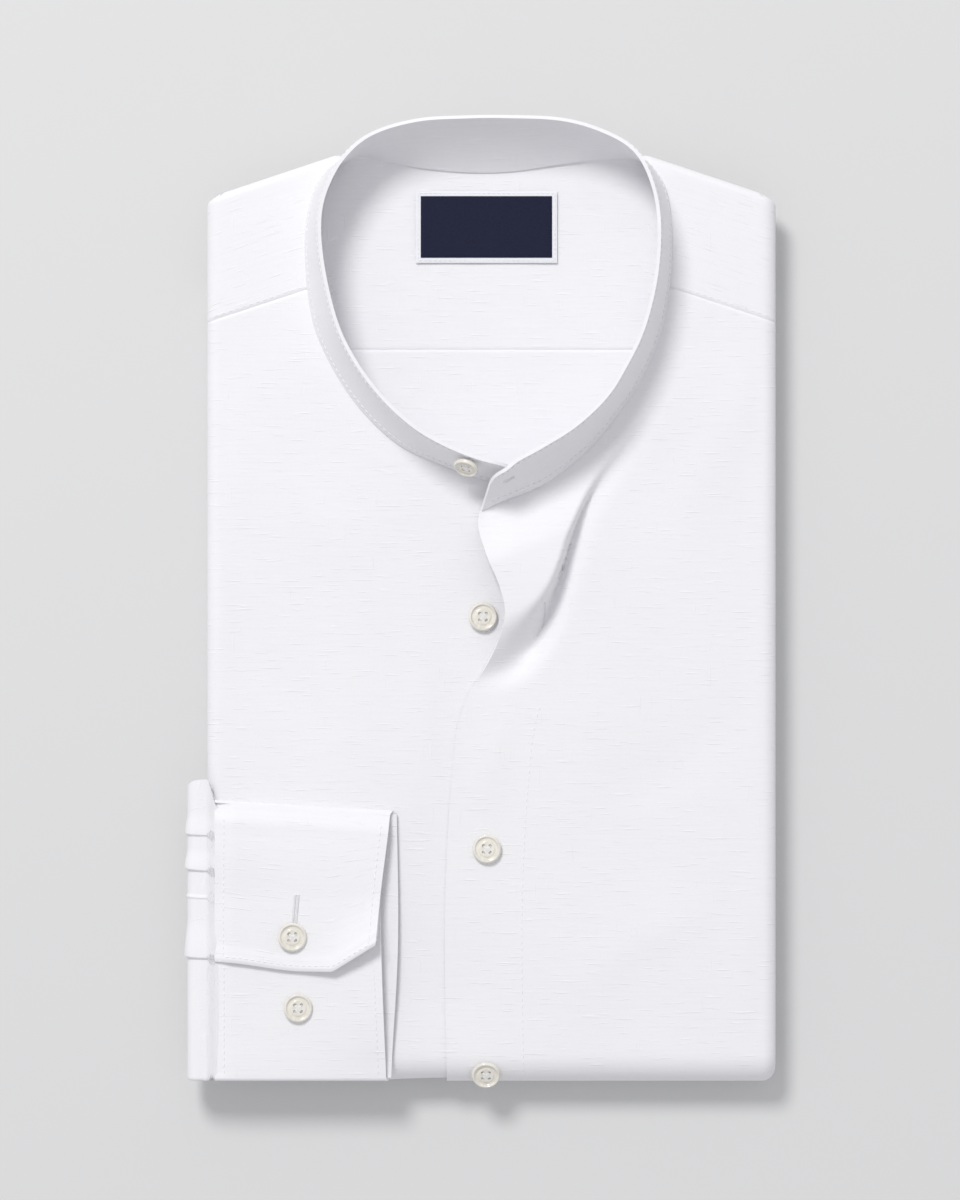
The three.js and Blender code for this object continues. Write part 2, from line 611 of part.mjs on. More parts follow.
// stage 0-1: under layer, 1-2: bottom fold, 2-3: back layer, 3-4: top fold, 4-5: upper layer.
function cuffPlace(part, stage) {
  const x = lerp(CUFF.seamX, readTable(CUFF_MOUTH, "stage", "x", stage), part);
  const top = CUFF.topY - lerp(-3.2, 1, part);
  const arch = (y) => Math.sin((Math.PI * (y - CUFF.bottomY)) / (top - CUFF.bottomY));
  const lift = (y) => CUFF.mouthLift * part ** 2 * clamp(arch(y), 0, 1);
  if (stage < 1) {
    const y = lerp(CUFF.underEndY, CUFF.bottomY + CUFF_RADIUS, stage);
    return new THREE.Vector3(x, y, CUFF_FRONT_Z + lift(y));
  }
  const turnAngle = Math.PI * (stage % 1);
  const sweep = CUFF_RADIUS * Math.sin(turnAngle);
  const rise = CUFF_RADIUS * Math.cos(turnAngle);
  if (stage < 2) {
    return new THREE.Vector3(x, CUFF.bottomY + CUFF_RADIUS - sweep, CUFF_BACK_Z + CUFF_RADIUS + rise);
  }
  if (stage < 3) {
    return new THREE.Vector3(x, lerp(CUFF.bottomY + CUFF_RADIUS, top - CUFF_RADIUS, stage - 2), CUFF_BACK_Z);
  }
  if (stage < 4) {
    return new THREE.Vector3(x, top - CUFF_RADIUS + sweep, CUFF_BACK_Z + CUFF_RADIUS - rise);
  }
  const y = lerp(top - CUFF_RADIUS, cuffOverlapY(x), stage - 4);
  const over = (CUFF_UPPER_Z - CUFF_FRONT_Z) * ease(-y, -top + 12, -CUFF.underEndY - 4);
  return new THREE.Vector3(x, y, CUFF_FRONT_Z + over + lift(y));
}

function makeCuff() {
  const stages = [0, 0.35, 0.7, 1, 1.25, 1.5, 1.75, 2, 2.4, 2.7, 3, 3.25, 3.5, 3.75];
  const upper = [4, 4.25, 4.4, 4.5, 4.6, 4.75, 4.88, 5];
  const across = [0, 0.2, 0.45, 0.66, 0.8, 0.9, 1];
  const along = () => [...stages, ...upper];
  const wall = { across, along, place: cuffPlace, thickness: CUFF_CLOTH, turn: -1 };
  addPiece("right_cuff", clothWall(wall), linen());
}
makeCuff();

// ---- Label: a woven base with a bare coloured patch, on the inside of the yoke ----
function labelPart(name, size, color, bottomZ) {
  const geometry = new THREE.BoxGeometry(size.width, size.height, size.thickness);
  const material = new THREE.MeshStandardMaterial({ color, roughness: 0.7, metalness: 0 });
  const mesh = addPiece(name, geometry, material);
  mesh.position.set(LABEL.x, LABEL.y, bottomZ + size.thickness / 2);
}
const LABEL_Z = BACK_TOP_Z + GAP;
labelPart("label_base", LABEL, COLOUR.label, LABEL_Z);
labelPart("label_patch", PATCH, COLOUR.navy, LABEL_Z + LABEL.thickness + GAP);

// ---- Hidden layers: everything folded away inside, as one solid with layered ends ----
const CORE = {
  clearance: CLOTH + GAP,
  edgeClearance: CLOTH + GAP + 1.2,
  pinch: 1.2,
  layerPitch: 2.1,
  layerDepth: 1.6,
  endInset: 6.5,
  tailInset: 12,
};
const CORE_COUNTS = [12, 10, 16];

// It gives way under the overlap of the fronts, on both faces.
const coreDip = (x) => OVERLAP_DIP * (ease(x, -32, -21) - ease(x, 21, 32));

function coreTop(x, y) {
  const nearNeck = ease(y, -72, -31) * (1 - ease(Math.abs(x), 101, 105) * (1 - ease(y, 96, 104)));
  const plain = MIDDLE - CORE.clearance - coreDip(x);
  const low = BACK_TOP_Z - CLOTH - GAP - MIDDLE;
  return lerp(plain, low, nearNeck);
}

function coreReach(out) {
  const radius = EDGE_RADIUS - CORE.edgeClearance;
  const off = MIDDLE - EDGE_RADIUS - Math.abs(out);
  return Math.abs(off) < radius ? EDGE_CENTRE + Math.sqrt(radius ** 2 - off ** 2) : EDGE_CENTRE - CORE.pinch;
}

function corePlace(a, b, c) {
  const share = 2 * c - 1;
  const side = 2 * a - 1;
  const roughX = side * EDGE_CENTRE;
  const roughY = lerp(FOLD_AXIS, SHOULDER_Y, b);
  const foldReach = MIDDLE - CORE.clearance - coreDip(roughX);
  const out = share * (share > 0 ? coreTop(roughX, roughY) : foldReach);
  const startY = FOLD_AXIS - Math.sqrt(Math.max(0, foldReach ** 2 - out ** 2));
  const layered = CORE.layerDepth * Math.abs(Math.sin((Math.PI * out) / CORE.layerPitch));
  const endY = shoulderFoldY(Math.abs(roughX)) - CORE.endInset + layered - (share < 0 ? CORE.tailInset : 0);
  const y = lerp(startY, endY, b);
  const radial = y < FOLD_AXIS ? Math.hypot(out, y - FOLD_AXIS) : out;
  return new THREE.Vector3(side * coreReach(radial), y, MIDDLE + out);
}
addPiece("folded_layers", warpedBox(CORE_COUNTS, corePlace), linen());

// ---- Buttons ----
function toSolid(geometry) {
  const plain = geometry.clone();
  plain.deleteAttribute("normal");
  plain.deleteAttribute("uv");
  const merged = mergeVertices(plain, 1e-4);
  return new wasm.Manifold(
    new wasm.Mesh({
      numProp: 3,
      vertProperties: merged.attributes.position.array,
      triVerts: new Uint32Array(merged.index.array),
    }),
  );
}

function fromSolid(solid) {
  const mesh = solid.getMesh();
  const geometry = new THREE.BufferGeometry();
  geometry.setAttribute("position", new THREE.BufferAttribute(mesh.vertProperties, 3));
  geometry.setIndex(new THREE.BufferAttribute(mesh.triVerts, 1));
  return geometry;
}

// A dished disc with a raised rim and four holes, its back face at z = 0.
function buttonGeometry(radius) {
  const { thickness, rim, dish, holeRadius, holePitch } = BUTTON;
  const profile = [
    [0, 0],
    [radius - 0.7, 0],
    [radius, 0.8],
    [radius - 0.25, thickness - 0.3],
    [radius - rim * 0.6, thickness],
    [radius - rim - 0.5, thickness - dish],
    [0, thickness - dish],
  ].map(([r, z]) => new THREE.Vector2(r, z));
  let solid = toSolid(new THREE.LatheGeometry(profile, 20).rotateX(Math.PI / 2));
  for (const [sx, sy] of [[1, 1], [1, -1], [-1, 1], [-1, -1]]) {
    const hole = new THREE.CylinderGeometry(holeRadius, holeRadius, 4 * thickness, 8).rotateX(Math.PI / 2);
    hole.translate((sx * holePitch) / 2, (sy * holePitch) / 2, 0);
    solid = solid.subtract(toSolid(hole));
  }
  return fromSolid(solid);
}

// Sews a button on at a point of the cloth's outer face, facing along an axis.
function addButton(name, point, axis, radius = BUTTON.radius) {
  const material = new THREE.MeshStandardMaterial({ color: COLOUR.button, roughness: 0.3, metalness: 0 });
  const mesh = addPiece(name, buttonGeometry(radius), material);
  mesh.quaternion.setFromUnitVectors(new THREE.Vector3(0, 0, 1), axis.clone().normalize());
  mesh.position.copy(point);
}

const UP = new THREE.Vector3(0, 0, 1);
const FOLD_BUTTON_TILT = THREE.MathUtils.degToRad(25);
const BAND_BUTTON_TILT = THREE.MathUtils.degToRad(57);
const BAND_BUTTON_PART = 0.951;
const BAND_BUTTON_SHANK = 2.5;

addButton("front_button_2", new THREE.Vector3(-3, 0.8, THICKNESS - OVERLAP_DIP + GAP), UP);
addButton("front_button_3", new THREE.Vector3(-1.8, -90.9, THICKNESS + GAP), UP);

function addFoldButton() {
  const reach = MIDDLE + GAP + 0.1;
  const outward = new THREE.Vector3(0, -Math.sin(FOLD_BUTTON_TILT), Math.cos(FOLD_BUTTON_TILT));
  const down = new THREE.Vector3(0, -Math.cos(FOLD_BUTTON_TILT), -Math.sin(FOLD_BUTTON_TILT));
  const point = new THREE.Vector3(-2.2, FOLD_AXIS, MIDDLE).addScaledVector(outward, reach);
  addButton("front_button_4", point.addScaledVector(down, 3), outward);
}
addFoldButton();

function addBandButton() {
  const ahead = bandPlace(BAND_BUTTON_PART + 0.01, 0).sub(bandPlace(BAND_BUTTON_PART - 0.01, 0));
  const outward = new THREE.Vector3(ahead.y, -ahead.x, 0).normalize();
  const point = bandPlace(BAND_BUTTON_PART, 0.72).addScaledVector(outward, BAND_BUTTON_SHANK);
  const axis = outward.clone().multiplyScalar(Math.sin(BAND_BUTTON_TILT));
  addButton("band_button", point, axis.addScaledVector(UP, Math.cos(BAND_BUTTON_TILT)), BAND_BUTTON_RADIUS);
}
addBandButton();

function addCuffButton(name, part, stage) {
  const point = cuffPlace(part, stage);
  addButton(name, point.addScaledVector(UP, GAP + 0.15), UP);
}
addCuffButton("cuff_button_1", 0.475, 4.79);
addCuffButton("cuff_button_2", 0.495, 0.6);

// ---- The origin: the middle of the part's box, on the surface it lies on ----
const box = new THREE.Box3().setFromObject(shirt);
const middle = box.getCenter(new THREE.Vector3());
shirt.position.set(-middle.x, -middle.y, -box.min.z);

export default shirt;
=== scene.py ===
import math

import bmesh
import bpy
import numpy as np
from mathutils import Matrix, Vector


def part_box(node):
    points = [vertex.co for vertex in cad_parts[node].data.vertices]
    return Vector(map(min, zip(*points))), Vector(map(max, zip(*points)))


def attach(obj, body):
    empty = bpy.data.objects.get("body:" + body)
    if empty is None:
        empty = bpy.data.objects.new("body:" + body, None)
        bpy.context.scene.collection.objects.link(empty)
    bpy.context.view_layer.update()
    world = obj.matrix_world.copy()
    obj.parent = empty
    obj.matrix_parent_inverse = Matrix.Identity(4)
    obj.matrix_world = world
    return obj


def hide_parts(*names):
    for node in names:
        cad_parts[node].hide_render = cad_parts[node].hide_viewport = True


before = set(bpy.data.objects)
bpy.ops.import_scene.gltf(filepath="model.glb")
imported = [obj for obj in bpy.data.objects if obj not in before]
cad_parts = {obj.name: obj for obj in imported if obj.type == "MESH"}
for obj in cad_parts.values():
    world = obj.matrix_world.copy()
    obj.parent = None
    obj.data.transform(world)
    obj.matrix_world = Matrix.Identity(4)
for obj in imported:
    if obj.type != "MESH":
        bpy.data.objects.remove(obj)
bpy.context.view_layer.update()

bl_info = {
    "name": "Folded collarless shirt",
    "version": (1, 0, 0),
    "blender": (4, 5, 0),
    "location": "View3D > Sidebar > Shirt",
    "description": "Builds a folded linen shirt with a band neck, piece by piece",
    "category": "Add Mesh",
}

# ---- Units and place: shapes are worked out in millimetres from the middle of the shirt's width ----
MM = 0.001
LABEL_CENTRE = (-2.0, 155.2)
label_low, label_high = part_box("label_base")
SHIFT = np.array([
    (label_low.x + label_high.x) / 2 / MM - LABEL_CENTRE[0],
    (label_low.y + label_high.y) / 2 / MM - LABEL_CENTRE[1],
    0.0,
])


def table(columns, *rows):
    """Rows whose columns have names."""
    return [dict(zip(columns.split(), row)) for row in rows]


# ---- The folded body ----
HALF_WIDTH = 112.5
THICKNESS = 22.0
MIDDLE = THICKNESS / 2
EDGE_RADIUS = (MIDDLE - 0.3) / 2
EDGE_CENTRE = HALF_WIDTH - EDGE_RADIUS
EDGE_LENGTH = math.pi * EDGE_RADIUS
FOLD_AXIS = -172.3
FOLD_LENGTH = math.pi * MIDDLE
UNDER_START = FOLD_AXIS - FOLD_LENGTH
SHOULDER_Y = 183.3
SHOULDER_SLOPE = 0.333
SHOULDER_INNER_X = 62.0
SHOULDER_RADIUS = 3.6
TURN = math.pi * SHOULDER_RADIUS
SEAM_GAP = 0.02
SEAM_DEPTH = 0.5
SEAM_WIDTH = 0.55
# Close rows and columns of a cloth's mesh, in from an edge and either side of the neck's widest place.
EDGE_STEPS = np.array([0, 0.25, 0.5, 0.85, 1.3, 2.0, 3.0])
REACH_STEPS = np.array([4.5, 3.2, 2.2, 1.4, 0.8, 0.4, 0.15, 0.0, -0.15])
EDGE_CALM = 9.0
FRONT_SEAM = {"inner_x": 72.6, "inner_y": 130.3, "outer_x": 112.5, "outer_y": 117.2}
YOKE_SEAM_Y = 106.7
BACK_END_Y = -20.0
BACK_HALF_WIDTH = 86.0
BACK_TOP_Z = THICKNESS - 2 * SHOULDER_RADIUS + 1.2
HEM_Y = 158.0
HEM_SIDE_RISE = 26.0
UNDER_EDGE_X = 12.0
NECK_INSET = 1.1
# The right front gives way under the left one, most of all below the open fold.
UNDER_DIP = {"depth": 1.25, "from_x": -62, "to_x": -16}
UNDER_SAG = {"depth": 2.6, "from_edge": 0.5, "to_edge": 8, "low": (-40, -26), "high": (30, 46)}
PLACKET_WIDTH = 30.4
LEFT_FREE_REACH = 17.6
FRONT_FILL = 0.93
FRONT_SHARP = 80
YOKE_LENGTH = 130.0
YOKE_FILL = 0.72

FRONT_EDGE = table(
    "y x",
    (50, -2.2), (39, -5.3), (27, -2.6), (12, 3.4), (3, 5.3), (-6.5, 3.4),
    (-19.5, -2.6), (-28, -8.3), (-37, -12), (-62, -15.6), (-92, -17.6), (-200, -17.6),
)

# The deep fold beside the free edge: the crest of the puff with its height, and the valley below it.
FOLD_CREST = table(
    "x y height",
    (68, 98, 0.0), (52, 76, 1.6), (39, 54.5, 3.8), (30.5, 34.4, 6.4),
    (23.2, 15.6, 8.8), (14, 5.5, 9.9), (4, 1, 9.5), (-8, -3, 7.5),
)
FOLD_VALLEY = table(
    "x y depth",
    (71, 95, 0.0), (57, 73, 0.4), (43, 54.5, 1.6), (34.3, 39.6, 3.0),
    (28.6, 22.2, 4.8), (22.4, 2.6, 5.2), (16.6, -9.5, 4.4), (9.5, -18.5, 2.6),
    (1.0, -23.0, 1.0), (-8, -25.5, 0.2), (-20, -27.5, 0.0),
)
PUFF_RUN_IN = 22.0
CREST_BLEND = 3.0
VALLEY_WIDTH = 4.6
FLANK_FOOT = 0.46
FLANK_FOOT_ROUNDING = 2.0

BAND_SECTIONS = table(
    "seam rim",
    ((-3.6, 43.2, 23.3), (0.6, 56.0, 44.5)), ((4.9, 47.4, 23.8), (5.4, 57.7, 45)),
    ((14, 50.9, 23.8), (10.7, 61.8, 45.5)), ((24.7, 56.5, 23.2), (19.3, 66.5, 46)),
    ((39.3, 68.7, 23.0), (33, 75.1, 46)), ((51.5, 83.7, 23.0), (44.7, 86, 46)),
    ((59.4, 96, 23.0), (52.1, 97.2, 46)), ((66.5, 113, 23.0), (59.9, 113.4, 46)),
    ((70.5, 133.9, 23.0), (65, 134.1, 46)), ((70.9, 155.6, 23.0), (66.2, 154.8, 46)),
    ((68.1, 171.4, 23.0), (63.5, 170.6, 45.5)), ((60, 182, 20.6), (56.8, 183.5, 44.5)),
    ((48.1, 184, 18.7), (44.6, 191.4, 42.5)), ((31.1, 182.5, 17.2), (27.6, 196.4, 41)),
    ((8.1, 179.4, 16.4), (5.6, 197.5, 40.5)), ((-8.9, 179, 16.4), (-11.6, 197.3, 40.5)),
    ((-25.1, 180.2, 16.6), (-28, 196.3, 40.5)), ((-41, 182.6, 17.6), (-43.5, 192.3, 41.5)),
    ((-54, 183.8, 19.4), (-54, 185.9, 43.5)), ((-66.2, 176, 22.6), (-62.4, 175, 45)),
    ((-72.3, 161, 23.0), (-67.6, 159.9, 45.5)), ((-73.3, 141, 23.0), (-67.1, 140.8, 45.5)),
    ((-70.1, 117.3, 23.0), (-61.9, 117.5, 45.5)), ((-62.2, 98.9, 23.0), (-54.6, 101.6, 45.5)),
    ((-50.4, 82.1, 23.0), (-43.9, 87, 45.5)), ((-36.1, 69.1, 23.0), (-31.1, 75.1, 45.5)),
    ((-20.3, 61.6, 22.7), (-17.8, 67.3, 45)), ((-5.3, 56.1, 21.8), (-3.4, 61.8, 44.5)),
    ((6.5, 52.6, 21.4), (8, 59.6, 43.6)),
)
BAND_END_ROUNDING = 10.0
BAND_HEIGHT = 27.0
BAND_TUCK = 0.045

CUFF = {
    "seam_x": -109.2,
    "top_y": -74.5,
    "bottom_y": -182.3,
    "overlap_y": -138.8,
    "under_end_y": -112.0,
    "cut_start_x": -63.8,
    "cut_end_x": -44.8,
    "cut_end_y": -126.8,
    "mouth_lift": 4.4,
    "depth": 70.0,
    "top_rise_at_seam": 3.2,
    "top_drop_at_mouth": 1.0,
}
CUFF_MOUTH = table(
    "stage x",
    (5, -45.6), (4.6, -43.6), (4, -40), (3.5, -38.6), (3, -37.4), (2.5, -36.9),
    (2, -39.6), (1.5, -41), (1, -41.6), (0.5, -43), (0, -44),
)
FLAP = {
    "dome": 2.7,
    "dome_run_in": 9,
    "dent": (87, 111),
    "corner": 4.2,
    "corner_x": (-78, -46),
    "corner_width": 12,
}
CUFF_WALL = 1.3
CUFF_BACK_Z = THICKNESS + 0.4
CUFF_FRONT_Z = CUFF_BACK_Z + 2 * CUFF_WALL + 0.3
CUFF_UPPER_Z = CUFF_FRONT_Z + CUFF_WALL + 0.3
CUFF_RADIUS = (CUFF_FRONT_Z - CUFF_BACK_Z) / 2

SLEEVE = {
    "outer_x": -120.3,
    "tuck_x": -111.3,
    "top_y": -65.6,
    "bottom_y": -182.3,
    "rise": 3.4,
    "drop_below": 2.8,
    "drop_at_cuff": 11,
}
SLEEVE_THICKNESS = 2.2
# Pleats run from the sleeve's outer edge to the cuff: y at either end, how far each stands up, its width.
PLEATS = table(
    "outer_y cuff_y height width",
    (-84.9, -86.3, 0.9, 9.0),
    (-98.4, -101.0, 1.1, 9.0),
    (-109.6, -111.4, 0.45, 1.6),
    (-133.2, -135.0, 1.2, 16.0),
)
LOOP_BOTTOM = MIDDLE - 1.65
LOOP_TOP = THICKNESS + 0.4 + SLEEVE_THICKNESS
LOOP_RADIUS = (LOOP_TOP - LOOP_BOTTOM) / 2
LOOP_X = SLEEVE["outer_x"] + LOOP_RADIUS
LOOP_SQUARENESS = 0.6
SLEEVE_TUCK = 3.0
SLEEVE_CLOTH = 0.6
SLEEVE_TURN_IN = 5.0
SLEEVE_RUN_LENGTH = 11

LABEL_SIZE = (56.0, 28.4)
PATCH_SIZE = (52.0, 24.4)
LABEL_TOP_Z = BACK_TOP_Z + 0.8
PATCH_TOP_Z = BACK_TOP_Z + 1.2
BUTTON_RADIUS = 5.7
BAND_BUTTON_RADIUS = 5.0
BUTTON_HOLES = {"offset": 1.3, "radius": 0.6, "floor": 0.7}
BUTTON_FACE = {"height": 1.2, "rim_from": 4.2, "rim_to": 4.85, "rim": 0.75, "edge_from": 5.0, "edge": 0.8}
BAND_BUTTON = {"part": 0.951, "height": 0.72, "shank": 2.5, "lean": math.radians(57)}
FOLD_BUTTON = {"x": -2.2, "below": 3, "tilt": math.radians(25)}


# ---- Working values ----
def ease(value, start, end):
    part = np.clip((np.asarray(value, float) - start) / (end - start), 0, 1)
    return part * part * (3 - 2 * part)


def lerp(a, b, part):
    return a + (b - a) * part


def lengths(points):
    """Length from the first point to each of the points along a line."""
    return np.concatenate([[0], np.cumsum(np.linalg.norm(np.diff(points, axis=0), axis=1))])


def spline(points, parts):
    """Points on a smooth curve through the given ones, at parts from 0 to 1."""
    points = np.asarray(points, float)
    at = np.clip(np.asarray(parts, float), 0, 1) * (len(points) - 1)
    start = np.minimum(at.astype(int), len(points) - 2)
    t = (at - start)[..., None]
    padded = np.vstack([2 * points[0] - points[1], points, 2 * points[-1] - points[-2]])
    a, b, c, d = (padded[start + k] for k in range(4))
    return b + 0.5 * t * (c - a + t * (2 * a - 5 * b + 4 * c - d + t * (3 * (b - c) + d - a)))


def smooth_table(rows, key, field):
    """A column of a table as a function of another, smooth between its rows."""
    keys = np.array([row[key] for row in rows], float)[::-1]
    values = np.array([row[field] for row in rows], float)[::-1]
    slopes = np.gradient(values, keys)

    def read(at):
        at = np.clip(np.asarray(at, float), keys[0], keys[-1])
        i = np.clip(np.searchsorted(keys, at, side="right") - 1, 0, len(keys) - 2)
        span = keys[i + 1] - keys[i]
        t = (at - keys[i]) / span
        rise = 3 * t**2 - 2 * t**3
        return (
            lerp(values[i], values[i + 1], rise)
            + span * slopes[i] * (t - 2 * t**2 + t**3)
            + span * slopes[i + 1] * (t**3 - t**2)
        )

    return read


def nearest_on_line(line, x, y):
    """Distance to a line drawn through points, whether a place is on its left, and where along it."""
    x, y = np.broadcast_arrays(np.asarray(x, float), np.asarray(y, float))
    dx = x[..., None] - line[:, 0]
    dy = y[..., None] - line[:, 1]
    nearest = np.argmin(dx**2 + dy**2, axis=-1)[..., None]
    dx = np.take_along_axis(dx, nearest, -1)[..., 0]
    dy = np.take_along_axis(dy, nearest, -1)[..., 0]
    k = nearest[..., 0]
    ahead = np.gradient(line, axis=0)
    on_left = ahead[k, 0] * dy - ahead[k, 1] * dx > 0
    return np.hypot(dx, dy), on_left, k


def crease_height(crease, x, y):
    """Height a crease adds at points of the cloth."""
    run = crease["run"]
    line = spline(run, np.linspace(0, 1, 12 * len(run)))
    off, on_left, k = nearest_on_line(line[:, :2], x, y)
    width = np.where(on_left, crease["left"], crease["right"])
    return line[k, 2] * np.exp(-((off / width) ** 2))


EDGE_START, EDGE_END = FRONT_EDGE[0]["y"], FRONT_EDGE[-1]["y"]
free_edge = smooth_table(FRONT_EDGE, "y", "x")
cuff_mouth = smooth_table(CUFF_MOUTH, "stage", "x")

SEAM_POINTS = [row["seam"] for row in BAND_SECTIONS]
RIM_POINTS = [row["rim"] for row in BAND_SECTIONS]


def neck_line():
    parts = np.linspace(0, 1, 600)
    seam = spline(SEAM_POINTS, parts)
    ahead = np.gradient(seam[:, :2], axis=0)
    ahead /= np.linalg.norm(ahead, axis=1)[:, None]
    return seam[:, 0] - NECK_INSET * ahead[:, 1], seam[:, 1] + NECK_INSET * ahead[:, 0]


NECK_X, NECK_Y = neck_line()
NECK_RIGHTMOST = int(np.argmax(NECK_X))
NECK_LEFTMOST = int(np.argmin(NECK_X))
LEFT_REACH = float(NECK_X[NECK_RIGHTMOST])
RIGHT_REACH = float(-NECK_X[NECK_LEFTMOST])


def neck_y(branch, x):
    """y of the neck edge at x, on the left or right front's side of it or along the back."""
    span = {
        "left": slice(0, NECK_RIGHTMOST + 1),
        "back": slice(NECK_RIGHTMOST, NECK_LEFTMOST + 1),
        "right": slice(NECK_LEFTMOST, None),
    }[branch]
    xs, ys = NECK_X[span], NECK_Y[span]
    order = np.argsort(xs)
    return np.interp(x, xs[order], ys[order])


def section(distance, inset=0.0):
    """Across and out of the middle plane, at a distance from the centre line along a bundle's section."""
    distance = np.asarray(distance, float)
    angle = np.maximum(distance - EDGE_CENTRE, 0) / EDGE_RADIUS
    radius = EDGE_RADIUS - inset
    flat = distance <= EDGE_CENTRE
    across = np.where(flat, distance, EDGE_CENTRE + radius * np.sin(angle))
    out = np.where(flat, MIDDLE - inset, MIDDLE - EDGE_RADIUS + radius * np.cos(angle))
    return across, out


def around_fold(x, out, run):
    """The U that the fronts follow: run is y on top, goes round the bottom fold, then along below."""
    angle = np.clip((FOLD_AXIS - run) / MIDDLE, 0, math.pi)
    y = FOLD_AXIS - out * np.sin(angle) + np.maximum(run - FOLD_AXIS, 0) + np.maximum(UNDER_START - run, 0)
    return np.stack([x + 0 * y, y, MIDDLE + out * np.cos(angle)], axis=-1)


# Long soft undulations of pressed cloth: wave vectors across and along, phase and height.
UNDULATIONS = table(
    "across along phase height",
    (0.021, 0.052, 0.4, 0.22),
    (-0.034, 0.031, 2.1, 0.2),
    (0.061, -0.018, 4.0, 0.16),
    (0.012, 0.083, 5.3, 0.12),
    (-0.075, 0.064, 1.2, 0.08),
)

# Faint creases left by folding and handling: x, y and height along each, and its width to either side.
PRESS_CREASES = table(
    "name left right run",
    ("right chest", 9, 14, [(-98, 70, 0), (-70, 40, 0.5), (-40, 26, 0)]),
    ("right side", 7, 11, [(-102, 10, 0), (-84, -22, -0.5), (-62, -50, 0)]),
    ("right placket", 6, 8, [(-30, 30, 0), (-26, -30, 0.35), (-30, -90, 0)]),
    ("left chest", 12, 9, [(104, 96, 0), (84, 60, 0.6), (72, 12, 0)]),
    ("left waist", 10, 13, [(100, -30, 0), (70, -60, -0.5), (34, -72, 0)]),
    ("left tail", 8, 10, [(96, -110, 0), (58, -128, 0.5), (24, -150, 0)]),
    ("below the fold", 6, 9, [(6, -34, 0), (0, -56, 0.6), (-4, -84, 0)]),
)


def pressed(x, y):
    """Small height of cloth that has been pressed and folded."""
    height = sum(
        wave["height"] * np.sin(wave["across"] * x + wave["along"] * y + wave["phase"])
        for wave in UNDULATIONS
    )
    return height + sum(crease_height(crease, x, y) for crease in PRESS_CREASES)


# ---- Meshes ----
def new_object(name, data):
    obj = bpy.data.objects.new(name, data)
    bpy.context.collection.objects.link(obj)
    return obj


def to_frame(points):
    return (np.asarray(points, float) + SHIFT) * MM


def grid_mesh(name, points, spread, turn=1, closed=False):
    """A mesh on a grid of points, with the flat cloth's own coordinates as its UV map."""
    across, along = points.shape[:2]
    mesh = bpy.data.meshes.new(name)
    index = np.arange(across * along).reshape(across, along)
    if closed:
        index = np.vstack([index, index[:1]])
    corners = [index[:-1, :-1], index[1:, :-1], index[1:, 1:], index[:-1, 1:]]
    faces = np.stack([corner.ravel() for corner in corners], axis=1)
    if turn < 0:
        faces = faces[:, ::-1]
    mesh.from_pydata(to_frame(points).reshape(-1, 3).tolist(), [], faces.tolist())
    uv = mesh.uv_layers.new(name="cloth")
    flat = (np.asarray(spread, float) * MM).reshape(-1, 2)
    uv.data.foreach_set("uv", flat[faces.ravel()].ravel())
    return mesh


def cloth_piece(name, points, spread, thickness, turn=1, closed=False, sharp=50):
    """A thin shell: the grid is its outer face, and it is thickened inwards."""
    mesh = grid_mesh(name, points, spread, turn, closed)
    work = bmesh.new()
    work.from_mesh(mesh)
    bmesh.ops.remove_doubles(work, verts=work.verts, dist=0.02 * MM)
    bmesh.ops.dissolve_degenerate(work, edges=work.edges, dist=0.005 * MM)
    work.to_mesh(mesh)
    work.free()
    obj = new_object(name, mesh)
    thicken = obj.modifiers.new("cloth thickness", "SOLIDIFY")
    thicken.thickness = thickness * MM
    thicken.offset = -1
    graph = bpy.context.evaluated_depsgraph_get()
    solid = bpy.data.meshes.new_from_object(obj.evaluated_get(graph))
    obj.modifiers.clear()
    obj.data = solid
    solid.shade_smooth()
    solid.set_sharp_from_angle(angle=math.radians(sharp))
    return obj


def finish_piece(obj, material, slot, *nodes):
    obj.data.materials.clear()
    obj.data.materials.append(material)
    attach(obj, "root")
    if nodes:
        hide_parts(*nodes)


# ---- Materials ----
class Value:
    """A socket that takes part in plain arithmetic."""

    def __init__(self, shader, socket):
        self.shader = shader
        self.socket = socket

    def _math(self, operation, *terms):
        return self.shader.node("ShaderNodeMath", {"operation": operation}, dict(enumerate(terms)))

    def __add__(self, other):
        return self._math("ADD", self, other)

    def __mul__(self, other):
        return self._math("MULTIPLY", self, other)

    __radd__ = __add__
    __rmul__ = __mul__

    def sine(self):
        return self._math("SINE", self)

    def step(self, low, high):
        return self.shader.node(
            "ShaderNodeMapRange",
            {"interpolation_type": "SMOOTHSTEP"},
            {"Value": self, "From Min": low, "From Max": high},
        )


class Nodes:
    """A node tree, and the one way that nodes are put into it."""

    def __init__(self, tree):
        self.tree = tree

    def node(self, kind, settings, inputs, output=0):
        made = self.tree.nodes.new(kind)
        for key, setting in settings.items():
            setattr(made, key, setting)
        for key, value in inputs.items():
            self.put(made.inputs[key], value)
        return Value(self, made.outputs[output] if made.outputs else None)

    def put(self, socket, value):
        if isinstance(value, Value):
            self.tree.links.new(value.socket, socket)
        else:
            socket.default_value = value


